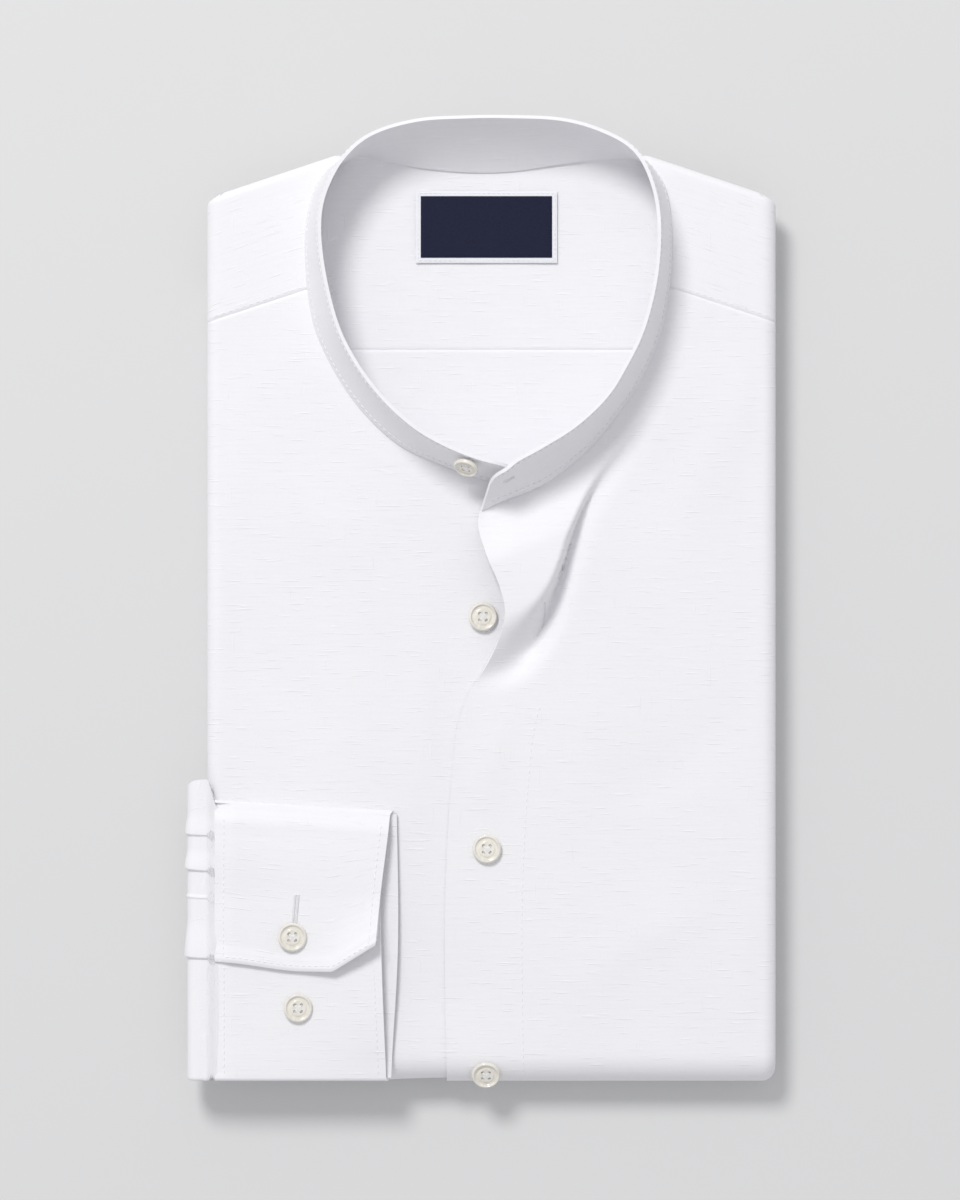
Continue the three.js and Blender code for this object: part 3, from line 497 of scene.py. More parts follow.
class Shader(Nodes):
    """A material with one principled surface."""

    def __init__(self, name):
        self.material = bpy.data.materials.new(name)
        self.material.use_nodes = True
        super().__init__(self.material.node_tree)
        self.surface = self.tree.nodes["Principled BSDF"]

    def set(self, **inputs):
        for key, value in inputs.items():
            self.put(self.surface.inputs[key.replace("_", " ").title().replace("Ior", "IOR")], value)

    def blend(self, part, low, high):
        """Colours mixed by a value."""
        return self.node("ShaderNodeMix", {"data_type": "RGBA"}, {0: part, 6: low, 7: high}, output=2)

    def cloth_place(self):
        """The flat cloth's own across and along, in metres."""
        uv = self.node("ShaderNodeUVMap", {"uv_map": "cloth"}, {})
        across = self.node("ShaderNodeSeparateXYZ", {}, {0: uv})
        return across, Value(self, across.socket.node.outputs[1])

    def noise(self, x, y, detail):
        place = self.node("ShaderNodeCombineXYZ", {}, {0: x, 1: y})
        return self.node("ShaderNodeTexNoise", {}, {"Vector": place, "Scale": 1.0, "Detail": detail})

    def bump(self, height, distance, strength):
        inputs = {"Height": height, "Distance": distance, "Strength": strength}
        self.set(normal=self.node("ShaderNodeBump", {}, inputs))


def linen_material(sizes, colours):
    """Plain-weave linen: fine threads, thick slubs along both ways of the weave, and a soft sheen."""
    shader = Shader("linen")
    across, along = shader.cloth_place()
    per_thread = 2 * math.pi / sizes.thread_pitch
    wander = shader.noise(across * 160, along * 160, detail=2.0) * 14
    warp = (across * per_thread + wander).sine()
    weft = (along * per_thread + wander * 1.3).sine()
    weave = warp * weft
    weft_slub = shader.noise(across * 85, along * 1150, detail=1.0).step(0.6, 0.78)
    warp_slub = shader.noise(across * 1150, along * 70, detail=1.0).step(0.66, 0.82)
    yarn = shader.noise(across * 40, along * 900, detail=2.0)
    cloudy = shader.noise(across * 18, along * 18, detail=3.0)
    tone = weft_slub * 0.45 + warp_slub * 0.25 + yarn * 0.35 + cloudy * 0.35 + 0.02
    shader.set(
        base_color=shader.blend(tone, tuple(colours.linen_shade), tuple(colours.linen)),
        roughness=0.78 + 0.12 * cloudy,
        sheen_weight=0.12,
        sheen_roughness=0.5,
        specular_ior_level=0.25,
    )
    height = weave * 0.2 + weft_slub * 0.9 + warp_slub * 0.6 + yarn * 0.4
    shader.bump(height, sizes.weave_depth, 0.9)
    return shader.material


LABEL_RIB = 0.0005
LABEL_YARN = 0.0008


def label_material(name, colour, colour_shade):
    """A close satin weave."""
    shader = Shader(name)
    across, along = shader.cloth_place()
    ribs = (along * (2 * math.pi / LABEL_RIB)).sine() * (across * (2 * math.pi / LABEL_YARN)).sine()
    fleck = shader.noise(across * 900, along * 900, detail=1.0)
    shader.set(
        base_color=shader.blend(fleck, tuple(colour_shade), tuple(colour)),
        roughness=0.6 + 0.15 * fleck,
        specular_ior_level=0.12,
    )
    shader.bump(ribs * 0.5 + fleck * 0.5, 0.00008, 0.8)
    return shader.material


def button_material(colours):
    """Polished off-white shell with cloudy swirls."""
    shader = Shader("pearly_button")
    place = shader.node("ShaderNodeTexCoord", {}, {}, output="Object")
    swirl = shader.node(
        "ShaderNodeTexNoise", {}, {"Vector": place, "Scale": 170.0, "Detail": 3.0, "Distortion": 1.6}
    )
    shader.set(
        base_color=shader.blend(swirl.step(0.3, 0.7), tuple(colours.button_shade), tuple(colours.button)),
        roughness=0.16 + 0.12 * swirl,
        coat_weight=0.6,
        coat_roughness=0.08,
        specular_ior_level=0.5,
    )
    shader.bump(swirl, 0.00005, 0.3)
    return shader.material


def thread_material(colours):
    """Twisted sewing thread."""
    shader = Shader("thread")
    place = shader.node("ShaderNodeTexCoord", {}, {}, output="Object")
    twist = shader.node("ShaderNodeTexNoise", {}, {"Vector": place, "Scale": 2600.0, "Detail": 1.0})
    shader.set(
        base_color=shader.blend(twist, tuple(colours.linen_shade), tuple(colours.thread)),
        roughness=0.55 + 0.2 * twist,
        sheen_weight=0.2,
    )
    shader.bump(twist, 0.00006, 0.6)
    return shader.material


made_materials = {}


def material(name):
    """Each finish is made once, when the first piece asks for it."""
    if name not in made_materials:
        sizes = bpy.context.scene.shirt_sizes
        colours = bpy.context.scene.shirt_colours
        made_materials[name] = {
            "linen": lambda: linen_material(sizes, colours),
            "label": lambda: label_material("label_base_weave", colours.label, colours.linen_shade),
            "patch": lambda: label_material("label_patch_weave", colours.patch, colours.patch_shade),
            "button": lambda: button_material(colours),
            "thread": lambda: thread_material(colours),
        }[name]()
    return made_materials[name]


# ---- Fronts ----
def front_distance(side, column, run):
    """Distance from the centre line along the section; inside the edge round it follows the free edge."""
    edge = UNDER_EDGE_X if side < 0 else free_edge(np.maximum(run, EDGE_END))
    neck_free = UNDER_EDGE_X if side < 0 else free_edge(EDGE_START)
    part = (EDGE_CENTRE - column) / (EDGE_CENTRE - side * neck_free)
    return np.where(column >= EDGE_CENTRE, column, EDGE_CENTRE - part * (EDGE_CENTRE - side * edge))


CREST_LINE = spline([(row["x"], row["y"], row["height"]) for row in FOLD_CREST], np.linspace(0, 1, 120))
VALLEY_LINE = spline([(row["x"], row["y"], row["depth"]) for row in FOLD_VALLEY], np.linspace(0, 1, 160))
NECK_SEAM_LINE = spline(SEAM_POINTS[:8], np.linspace(0, 1, 90))[:, :2]


def open_fold(x, run):
    """Height of the puff beside the free edge: up from the neck seam to its crest, down into the valley."""
    to_crest, below_crest = nearest_on_line(CREST_LINE[:, :2], x, run)[:2]
    to_valley, beyond_valley, k = nearest_on_line(VALLEY_LINE[:, :2], x, run)
    to_seam = nearest_on_line(NECK_SEAM_LINE, x, run)[0]
    x, run = np.broadcast_arrays(np.asarray(x, float), np.asarray(run, float))
    apart = np.hypot(x[..., None] - CREST_LINE[:, 0], run[..., None] - CREST_LINE[:, 1])
    share = np.exp(-(apart - to_crest[..., None]) / CREST_BLEND)
    crest = (share * CREST_LINE[:, 2]).sum(-1) / share.sum(-1) * ease(to_seam, 0, PUFF_RUN_IN)
    depth = VALLEY_LINE[k, 2]
    part = to_valley / (to_valley + to_crest + 1e-6)
    whole = 1 - math.exp(-((1 / FLANK_FOOT) ** FLANK_FOOT_ROUNDING))
    flank = (1 - np.exp(-((part / FLANK_FOOT) ** FLANK_FOOT_ROUNDING))) / whole
    height = np.where(below_crest, crest * flank - depth * (1 - flank), crest)
    return np.where(beyond_valley, -depth * np.exp(-((to_valley / VALLEY_WIDTH) ** 2)), height)


def under_dip(x, run):
    inside = x - free_edge(np.maximum(run, EDGE_END))
    sag = ease(inside, UNDER_SAG["from_edge"], UNDER_SAG["to_edge"])
    sag = sag * ease(run, *UNDER_SAG["low"]) * (1 - ease(run, *UNDER_SAG["high"]))
    dip = ease(x, UNDER_DIP["from_x"], UNDER_DIP["to_x"])
    return UNDER_DIP["depth"] * dip + UNDER_SAG["depth"] * sag


def front_point(side, distance, run):
    across, out = section(distance)
    x = side * across
    on_top = ease(run, FOLD_AXIS, FOLD_AXIS + 25) * (1 - ease(across, EDGE_CENTRE - EDGE_CALM, EDGE_CENTRE))
    flat = (across <= EDGE_CENTRE).astype(float)
    lift = open_fold(x, run) if side > 0 else -under_dip(x, run)
    near_seams = 1 - ease(run, 84, 112)
    seam = seam_trough(run - shoulder_seam_y(across)) * (across > 60)
    return around_fold(x, out + flat * lift + on_top * near_seams * pressed(x, run) + seam, run)


def seam_trough(distance):
    """How far two seamed edges turn down towards each other."""
    return -SEAM_DEPTH * np.exp(-((distance / SEAM_WIDTH) ** 2))


def shoulder_seam_y(across):
    part = (across - FRONT_SEAM["inner_x"]) / (FRONT_SEAM["outer_x"] - FRONT_SEAM["inner_x"])
    return lerp(FRONT_SEAM["inner_y"], FRONT_SEAM["outer_y"], part)


def hem_run(across):
    hem_y = HEM_Y - HEM_SIDE_RISE * ease(across, 45, HALF_WIDTH)
    return UNDER_START - (hem_y - FOLD_AXIS)


def side_columns(inner, reach, inside, round_edge):
    """Columns from near the middle out past the neck's widest place and round the side edge."""
    return np.concatenate([
        np.linspace(inner, reach - 6, inside),
        reach - REACH_STEPS,
        np.linspace(reach + 1.5, EDGE_CENTRE, 24)[:-1],
        EDGE_CENTRE + np.linspace(0, EDGE_LENGTH, round_edge),
    ])


def front_grid(side):
    branch, reach = ("right", RIGHT_REACH) if side < 0 else ("left", LEFT_REACH)
    free = -UNDER_EDGE_X if side < 0 else free_edge(EDGE_START)
    columns = side_columns(free, reach, 68, 15)
    across = section(columns)[0]
    start = np.where(across < reach, neck_y(branch, side * across), shoulder_seam_y(across) - SEAM_GAP / 2)
    hem = hem_run(np.minimum(columns, EDGE_CENTRE))
    rows = np.concatenate([
        np.linspace(-540, UNDER_START, 60)[:-1],
        np.linspace(UNDER_START, FOLD_AXIS, 22),
        np.arange(FOLD_AXIS + 2.6, -60, 2.6),
        np.arange(-60, 100, 1.1),
        np.arange(100, 134, 1.6),
    ])
    close = start[:, None] - EDGE_STEPS[::-1]
    runs = np.clip(rows[None, :], hem[:, None], close[:, :1])
    runs = np.concatenate([hem[:, None], runs, close], axis=1)
    return columns[:, None], runs


def make_front(name, side, sizes):
    columns, runs = front_grid(side)
    distance = front_distance(side, columns, runs) + 0 * runs
    points = front_point(side, distance, runs)
    spread = np.stack([side * distance, runs], axis=-1)
    obj = cloth_piece(name, points, spread, sizes.cloth_thickness / MM, turn=side, sharp=FRONT_SHARP)
    finish_piece(obj, material("linen"), "linen", name)
    free = UNDER_EDGE_X if side < 0 else LEFT_FREE_REACH
    width = EDGE_CENTRE + EDGE_LENGTH + free
    length = FRONT_SEAM["inner_y"] - hem_run(0)
    width * MM
    length * MM
    FRONT_FILL * width * length * MM**2


# ---- Yoke and back ----
def shoulder_fold_y(across):
    return SHOULDER_Y - SHOULDER_SLOPE * np.maximum(0, across - SHOULDER_INNER_X)


def yoke_point(distance, run):
    side = np.where(distance < 0, -1.0, 1.0)
    fold_y = shoulder_fold_y(section(np.abs(distance))[0]) - SHOULDER_RADIUS
    angle = np.clip(run / SHOULDER_RADIUS, 0, math.pi)
    inset = SHOULDER_RADIUS * (1 - np.cos(angle))
    straight = np.where(run < 0, run, np.minimum(0, TURN - run))
    across, out = section(np.abs(distance), inset)
    y = fold_y + SHOULDER_RADIUS * np.sin(angle) + straight
    x = side * across
    on_flat = (1 - ease(across, EDGE_CENTRE - EDGE_CALM, EDGE_CENTRE)) * np.where(run < TURN / 2, 1.0, 0.6)
    soft = on_flat * ease(np.abs(run - TURN / 2), TURN / 2, TURN / 2 + 12) * 0.7 * pressed(x, y + 40)
    away = ease(np.abs(y - shoulder_seam_y(across)), 2, 22)
    seam = seam_trough(y - np.where(run < TURN / 2, shoulder_seam_y(across), YOKE_SEAM_Y))
    return np.stack([x, y, MIDDLE + out + soft * away + seam], axis=-1)


def yoke_start(distance):
    across = section(np.abs(distance))[0]
    fold_y = shoulder_fold_y(across) - SHOULDER_RADIUS
    outside = (distance > LEFT_REACH) | (distance < -RIGHT_REACH)
    y = np.where(outside, shoulder_seam_y(across) + SEAM_GAP / 2, neck_y("back", distance))
    turned = SHOULDER_RADIUS * np.arcsin(np.clip((y - fold_y) / SHOULDER_RADIUS, 0, 1))
    before = np.minimum(0, y - fold_y)
    return lerp(TURN - turned - before, turned + before, ease(across, 51, 62))


def make_yoke(sizes):
    right, left = (side_columns(0.9, reach, 46, 13) for reach in (RIGHT_REACH, LEFT_REACH))
    distance = np.concatenate([-right[::-1], left])
    start = yoke_start(distance)
    full = TURN + shoulder_fold_y(np.abs(distance)) - SHOULDER_RADIUS - YOKE_SEAM_Y - SEAM_GAP / 2
    end = np.where(np.abs(distance) >= EDGE_CENTRE, TURN / 2, full)
    rows = np.concatenate([
        np.linspace(-56, 0, 38)[:-1],
        np.linspace(0, TURN, 18)[:-1],
        np.linspace(TURN, 90, 46),
    ])
    first = start[:, None] + EDGE_STEPS
    last = end[:, None] - EDGE_STEPS[::-1]
    runs = np.clip(rows[None, :], first[:, -1:], np.maximum(first[:, -1:], last[:, :1]))
    runs = np.concatenate([np.minimum(first, end[:, None]), runs, np.maximum(last, first[:, -1:])], axis=1)
    columns = distance[:, None] + 0 * runs
    points = yoke_point(columns, runs)
    obj = cloth_piece("yoke", points, np.stack([columns, runs], axis=-1), sizes.cloth_thickness / MM)
    finish_piece(obj, material("linen"), "linen", "yoke")
    width = 2 * (EDGE_CENTRE + EDGE_LENGTH)
    width * MM
    YOKE_FILL * width * YOKE_LENGTH * MM**2


def make_back(sizes):
    top = YOKE_SEAM_Y - SEAM_GAP / 2
    ys = np.concatenate([np.linspace(BACK_END_Y, top - 4, 80), top - EDGE_STEPS[::-1]])
    x, y = np.meshgrid(np.linspace(-BACK_HALF_WIDTH, BACK_HALF_WIDTH, 90), ys, indexing="ij")
    away = ease(YOKE_SEAM_Y - y, 1, 20)
    z = BACK_TOP_Z - 0.1 + 0.6 * away * np.clip(pressed(x + 30, y - 50), -1, 0.6)
    z = z + seam_trough(YOKE_SEAM_Y - y)
    points = np.stack([x, y, z], axis=-1)
    obj = cloth_piece("back", points, np.stack([x, y], axis=-1), sizes.cloth_thickness / MM)
    finish_piece(obj, material("linen"), "linen", "back")


# ---- Neck band ----
def band_point(part, height):
    seam = spline(SEAM_POINTS, part)
    rim = spline(RIM_POINTS, part)
    height = np.asarray(height, float)[..., None]
    lean = height * (1.5 - 0.5 * height)
    point = lerp(seam, rim, lean)
    point[..., 2] = lerp(seam, rim, height)[..., 2]
    return point


def band_top(part):
    ends = spline(SEAM_POINTS, np.round(part))
    from_end = np.linalg.norm(spline(SEAM_POINTS, part) - ends, axis=-1)
    missing = 1 - np.minimum(1, from_end / BAND_END_ROUNDING)
    height = np.linalg.norm(band_point(part, 0 * part) - band_point(part, 0 * part + 1), axis=-1)
    return 1 - BAND_END_ROUNDING * (1 - np.sqrt(1 - missing**2)) / height


def make_band(sizes):
    end_share = 0.04
    close = np.linspace(0, 1, 14) ** 1.6 * end_share
    part = np.concatenate([close, np.linspace(end_share, 1 - end_share, 330)[1:-1], 1 - close[::-1]])
    heights = np.linspace(-BAND_TUCK, 1, 24)[None, :] * band_top(part)[:, None]
    parts = part[:, None] + 0 * heights
    points = band_point(parts, heights)
    along = lengths(spline(SEAM_POINTS, part))
    spread = np.stack([along[:, None] + 0 * heights, BAND_HEIGHT * heights], axis=-1)
    obj = cloth_piece("neck_band", points, spread, sizes.band_thickness / MM)
    soften = obj.modifiers.new("turned edge", "BEVEL")
    soften.width = 0.45 * MM
    soften.segments = 3
    soften.limit_method = "ANGLE"
    soften.angle_limit = math.radians(60)
    finish_piece(obj, material("linen"), "linen", "neck_band")


# ---- Sleeve end ----
def pleat_height(y, run):
    height = 0
    for pleat in PLEATS:
        above = y - lerp(pleat["outer_y"], pleat["cuff_y"], np.clip((run - 1.4) / 1.6, 0, 1))
        back = 1 - ease(above, 0.3, pleat["width"])
        height = height + pleat["height"] * back * ease(above, -0.35, 0.25)
    return height


def flat_tube(around, top, bottom, run):
    """Round a flattened tube: y across it and distance out of its middle."""
    half = SLEEVE_THICKNESS / 2
    span = top - bottom - 2 * half
    bend = math.pi * half
    y_outer = top - half - around
    pleats = ease(run, 1.0, 1.5) * (1 - 0.8 * ease(run, 2.5, 2.85)) * pleat_height(y_outer, run)
    lower = (around - span) / half
    y_inner = bottom + half + around - span - bend
    upper = (around - 2 * span - bend) / half
    case = [around < span, around < span + bend, around < 2 * span + bend]
    y_lower = bottom + half - half * np.sin(lower)
    y_upper = top - half + half * np.sin(upper)
    y = np.select(case, [y_outer, y_lower, y_inner], y_upper)
    out = np.select(case, [half + pleats, half * np.cos(lower), -half], -half * np.cos(upper))
    return y, out


def sleeve_point(around, run):
    top = SLEEVE["top_y"] + SLEEVE["rise"] * ease(run, 1.4, 2.0)
    top = top - SLEEVE["drop_below"] * (1 - ease(run, 0.6, 1.5))
    top = top - SLEEVE["drop_at_cuff"] * ease(run, 2.05, 2.7)
    y, out = flat_tube(around, top, SLEEVE["bottom_y"], run)
    out = out + LOOP_RADIUS - SLEEVE_THICKNESS / 2
    loop_z = LOOP_TOP - LOOP_RADIUS
    end = lerp(SLEEVE["tuck_x"], LOOP_X - 0.2, ease(-y, -FOLD_AXIS - 3, -FOLD_AXIS))
    angle = np.clip(run - 1, 0, 1) * math.pi
    sweep = np.abs(np.sin(angle)) ** LOOP_SQUARENESS
    rise = np.sign(np.cos(angle)) * np.abs(np.cos(angle)) ** LOOP_SQUARENESS
    inner_end = CUFF["seam_x"] + SLEEVE_TUCK
    ends = [lerp(end, LOOP_X, run), lerp(LOOP_X, inner_end, run - 2)]
    x = np.select([run < 1, run > 2], ends, LOOP_X - out * sweep)
    tucked = 0.5 * ease(run, 2.6, 2.9)
    return np.stack([x, y, loop_z - out * rise - tucked], axis=-1)


def make_sleeve():
    half = SLEEVE_THICKNESS / 2
    span = SLEEVE["top_y"] - SLEEVE["bottom_y"] - SLEEVE_THICKNESS
    bend = math.pi * half
    around = np.concatenate([
        np.linspace(0, span, 420)[:-1],
        np.linspace(span, span + bend, 9)[:-1],
        np.linspace(span + bend, 2 * span + bend, 120)[:-1],
        np.linspace(2 * span + bend, 2 * span + 2 * bend, 9)[:-1],
    ])
    run = np.concatenate([[0, 0.5], np.linspace(1, 2, 32), np.linspace(2, 3, 12)[1:]])
    arounds, runs = np.meshgrid(around, run, indexing="ij")
    points = sleeve_point(arounds, runs)
    spread = np.stack([arounds, runs * SLEEVE_RUN_LENGTH], axis=-1)
    obj = cloth_piece("right_sleeve", points, spread, SLEEVE_CLOTH, closed=True)
    finish_piece(obj, material("linen"), "linen", "right_sleeve")
    length = math.pi * LOOP_RADIUS + SLEEVE_TURN_IN
    length * MM


# ---- Cuff ----
def cuff_overlap_y(x):
    cut = np.clip((x - CUFF["cut_start_x"]) / (CUFF["cut_end_x"] - CUFF["cut_start_x"]), 0, 1)
    cut = np.where(cut < 0.12, cut**2 / 0.24, cut - 0.06)
    sag = 3.6 * (1 - ease(x, CUFF["seam_x"], CUFF["seam_x"] + 36))
    return lerp(CUFF["overlap_y"] + sag, CUFF["cut_end_y"], cut)


def cuff_point(part, stage):
    """Stage 0-1 under layer, 1-2 bottom fold, 2-3 back layer, 3-4 top fold, 4-5 upper layer."""
    part, stage = np.broadcast_arrays(np.asarray(part, float), np.asarray(stage, float))
    x = lerp(CUFF["seam_x"], cuff_mouth(stage), part)
    top = CUFF["top_y"] - lerp(-CUFF["top_rise_at_seam"], CUFF["top_drop_at_mouth"], part)
    bottom = CUFF["bottom_y"] + CUFF_RADIUS
    angle = math.pi * np.clip(np.where(stage < 3, stage - 1, stage - 3), 0, 1)
    sweep, rise = CUFF_RADIUS * np.sin(angle), CUFF_RADIUS * np.cos(angle)
    low, high = CUFF_BACK_Z + CUFF_RADIUS, top - CUFF_RADIUS
    stages = [stage < 1, stage < 2, stage < 3, stage < 4]
    under_y, back_y = lerp(CUFF["under_end_y"], bottom, stage), lerp(bottom, high, stage - 2)
    upper_y = lerp(high, cuff_overlap_y(x), stage - 4)
    y = np.select(stages, [under_y, bottom - sweep, back_y, high + sweep], upper_y)
    arch = np.clip(np.sin(math.pi * (y - CUFF["bottom_y"]) / (top - CUFF["bottom_y"])), 0, 1)
    lift = CUFF["mouth_lift"] * part**2 * arch
    over = (CUFF_UPPER_Z - CUFF_FRONT_Z) * ease(-y, -top + 12, -CUFF["under_end_y"] - 4)
    soft = 0.35 * np.sin(0.07 * x + 0.05 * y) + 0.25 * np.sin(-0.05 * x + 0.09 * y + 1.3)
    soft = soft * ease(y - CUFF["bottom_y"], 2, 14) * ease(top - y, 2, 14) * 0.9
    at_seam = 1 - ease(part, 0, 0.11)
    under = CUFF_FRONT_Z + lift + soft - 0.9 * at_seam
    upper = CUFF_FRONT_Z + over + lift + soft + flap_height(x, y, top) - 1.9 * at_seam
    back = CUFF_BACK_Z + 0.8 * part**4 * arch
    z = np.select(stages, [under, low + rise, back, low - rise], upper)
    return np.stack([x, y, z], axis=-1)


def flap_height(x, y, top):
    """The buttoned-over layer: domed under its fold, dented above the button, up again at its turned edge."""
    from_edge = y - cuff_overlap_y(x)

    def ridge(height, middle, width):
        return height * np.exp(-((from_edge - middle) / width) ** 2)

    dome = FLAP["dome"] * ease(top - y, 0, FLAP["dome_run_in"]) * (1 - ease(-y, *FLAP["dent"]))
    turned = ridge(0.9, 2.4, 3.0) + ridge(0.35, 1.1, 0.9) + ridge(-0.3, 3.1, 0.5)
    corner = FLAP["corner"] * ease(x, *FLAP["corner_x"]) * ridge(1, 0, FLAP["corner_width"])
    return dome + turned + corner


def make_cuff(sizes):
    steps = (60, 12, 60, 12, 70)
    stage = np.concatenate([np.linspace(k, k + 1, count)[:-1] for k, count in enumerate(steps)] + [[5]])
    part = 1 - np.linspace(1, 0, 62) ** 1.15
    parts, stages = np.meshgrid(part, stage, indexing="ij")
    points = cuff_point(parts, stages)
    around = lengths(points[30])
    spread = np.stack([points[..., 0], around[None, :] + 0 * parts], axis=-1)
    obj = cloth_piece("right_cuff", points, spread, sizes.cuff_thickness / MM, turn=-1)
    finish_piece(obj, material("linen"), "linen", "right_cuff")


# ---- Hidden layers ----
LAYER_PITCH = 1.5
LAYERS_BELOW = 20.0
CORE_GAP = 1.5
CORE_DIP = {"depth": 1.6, "inner_x": 21, "outer_x": 32}


def core_dip(x):
    """The middle of the pile is thinner, below the placket."""
    inner, outer = CORE_DIP["inner_x"], CORE_DIP["outer_x"]
    return CORE_DIP["depth"] * (ease(x, -outer, -inner) - ease(x, inner, outer))


def core_top(x, y):
    near_neck = ease(y, -72, -31) * (1 - ease(np.abs(x), 101, 105) * (1 - ease(y, 96, 104)))
    plain = MIDDLE - CORE_GAP - core_dip(x)
    return lerp(plain, BACK_TOP_Z - CORE_GAP - MIDDLE, near_neck)


def make_hidden_layers():
    """The folded-away cloth, whose ends show as a pile of rounded folds of uneven reach."""
    def place(a, b, c):
        side, share = 2 * a - 1, 2 * c - 1
        rough_x = side * EDGE_CENTRE
        rough_y = lerp(FOLD_AXIS, SHOULDER_Y, b)
        reach = MIDDLE - CORE_GAP - core_dip(rough_x)
        out = share * np.where(share > 0, core_top(rough_x, rough_y), reach)
        start_y = FOLD_AXIS - np.sqrt(np.maximum(0, reach**2 - out**2))
        layer = np.floor((out + LAYERS_BELOW) / LAYER_PITCH)
        within = (out + LAYERS_BELOW) / LAYER_PITCH - layer
        rounded = 1.3 * np.sqrt(np.clip(1 - (2 * within - 1) ** 2, 0, 1))
        uneven = 1.6 * np.sin(layer * 2.4 + 0.02 * rough_x) + 0.8 * np.sin(layer * 5.1 + 0.05 * rough_x)
        end_y = shoulder_fold_y(np.abs(rough_x)) - 7.5 + rounded + uneven - 11 * (share < 0)
        y = lerp(start_y, end_y, b)
        radial = np.where(y < FOLD_AXIS, np.hypot(out, y - FOLD_AXIS), out)
        off = MIDDLE - EDGE_RADIUS - np.abs(radial)
        radius = EDGE_RADIUS - 2.7
        bulge = np.sqrt(np.maximum(0, radius**2 - off**2))
        across = np.where(np.abs(off) < radius, EDGE_CENTRE + bulge, EDGE_CENTRE - 1.2)
        return np.stack([side * across, y, MIDDLE + out], axis=-1)

    work = bmesh.new()
    counts = (60, 60, 64)
    for axis, high in ((0, 0), (0, 1), (1, 0), (1, 1), (2, 0), (2, 1)):
        others = [k for k in range(3) if k != axis]
        grids = np.meshgrid(*(np.linspace(0, 1, counts[k] + 1) for k in others), indexing="ij")
        unit = [None, None, None]
        unit[axis] = np.full(grids[0].shape, float(high))
        unit[others[0]], unit[others[1]] = grids
        points = to_frame(place(*unit))
        verts = [[work.verts.new(p) for p in row] for row in points.tolist()]
        forward = (high == 1) != (axis == 1)
        for i in range(points.shape[0] - 1):
            for j in range(points.shape[1] - 1):
                corners = [verts[i][j], verts[i + 1][j], verts[i + 1][j + 1], verts[i][j + 1]]
                work.faces.new(corners if forward else corners[::-1])
    bmesh.ops.remove_doubles(work, verts=work.verts, dist=0.01 * MM)
    mesh = bpy.data.meshes.new("folded_layers")
    uv = work.loops.layers.uv.new("cloth")
    for face in work.faces:
        for loop in face.loops:
            loop[uv].uv = (loop.vert.co.x, loop.vert.co.y + loop.vert.co.z)
    work.to_mesh(mesh)
    work.free()
    mesh.shade_smooth()
    mesh.set_sharp_from_angle(angle=math.radians(70))
    finish_piece(new_object("folded_layers", mesh), material("linen"), "linen", "folded_layers")


# ---- Label ----
def label_sheet(name, size, height, finish, thickness):
    half_w, half_h = size[0] / 2, size[1] / 2
    x, y = np.meshgrid(np.linspace(-half_w, half_w, 70), np.linspace(-half_h, half_h, 40), indexing="ij")
    rim = np.minimum(half_w - np.abs(x), half_h - np.abs(y))
    z = height - 0.22 * (1 - ease(rim, 0, 1.2)) + 0.08 * np.sin(0.21 * x + 0.3 * y)
    points = np.stack([x + LABEL_CENTRE[0], y + LABEL_CENTRE[1], z], axis=-1)
    obj = cloth_piece(name, points, np.stack([x, y], axis=-1), thickness)
    finish_piece(obj, material(finish), "label" if finish == "label" else "patch", name)
    return obj


def make_label():
    base = label_sheet("label_base", LABEL_SIZE, LABEL_TOP_Z, "label", 0.45)
    patch = label_sheet("label_patch", PATCH_SIZE, PATCH_TOP_Z, "patch", 0.25)


# ---- Buttons ----
def button_height(radius, hole_distance):
    """Top face of the button: raised rim, dished middle, and four holes sunk into it."""
    rim = BUTTON_FACE["rim"] * ease(radius, BUTTON_FACE["rim_from"], BUTTON_FACE["rim_to"])
    centre = 0.3 * (1 - ease(radius, 2.9, 3.5)) - 0.12 * (1 - ease(radius, 0, 2.6))
    edge = BUTTON_FACE["edge"] * ease(radius, BUTTON_FACE["edge_from"], BUTTON_RADIUS) ** 2
    top = BUTTON_FACE["height"] + rim + centre - edge
    return np.where(hole_distance < BUTTON_HOLES["radius"], BUTTON_HOLES["floor"], top)


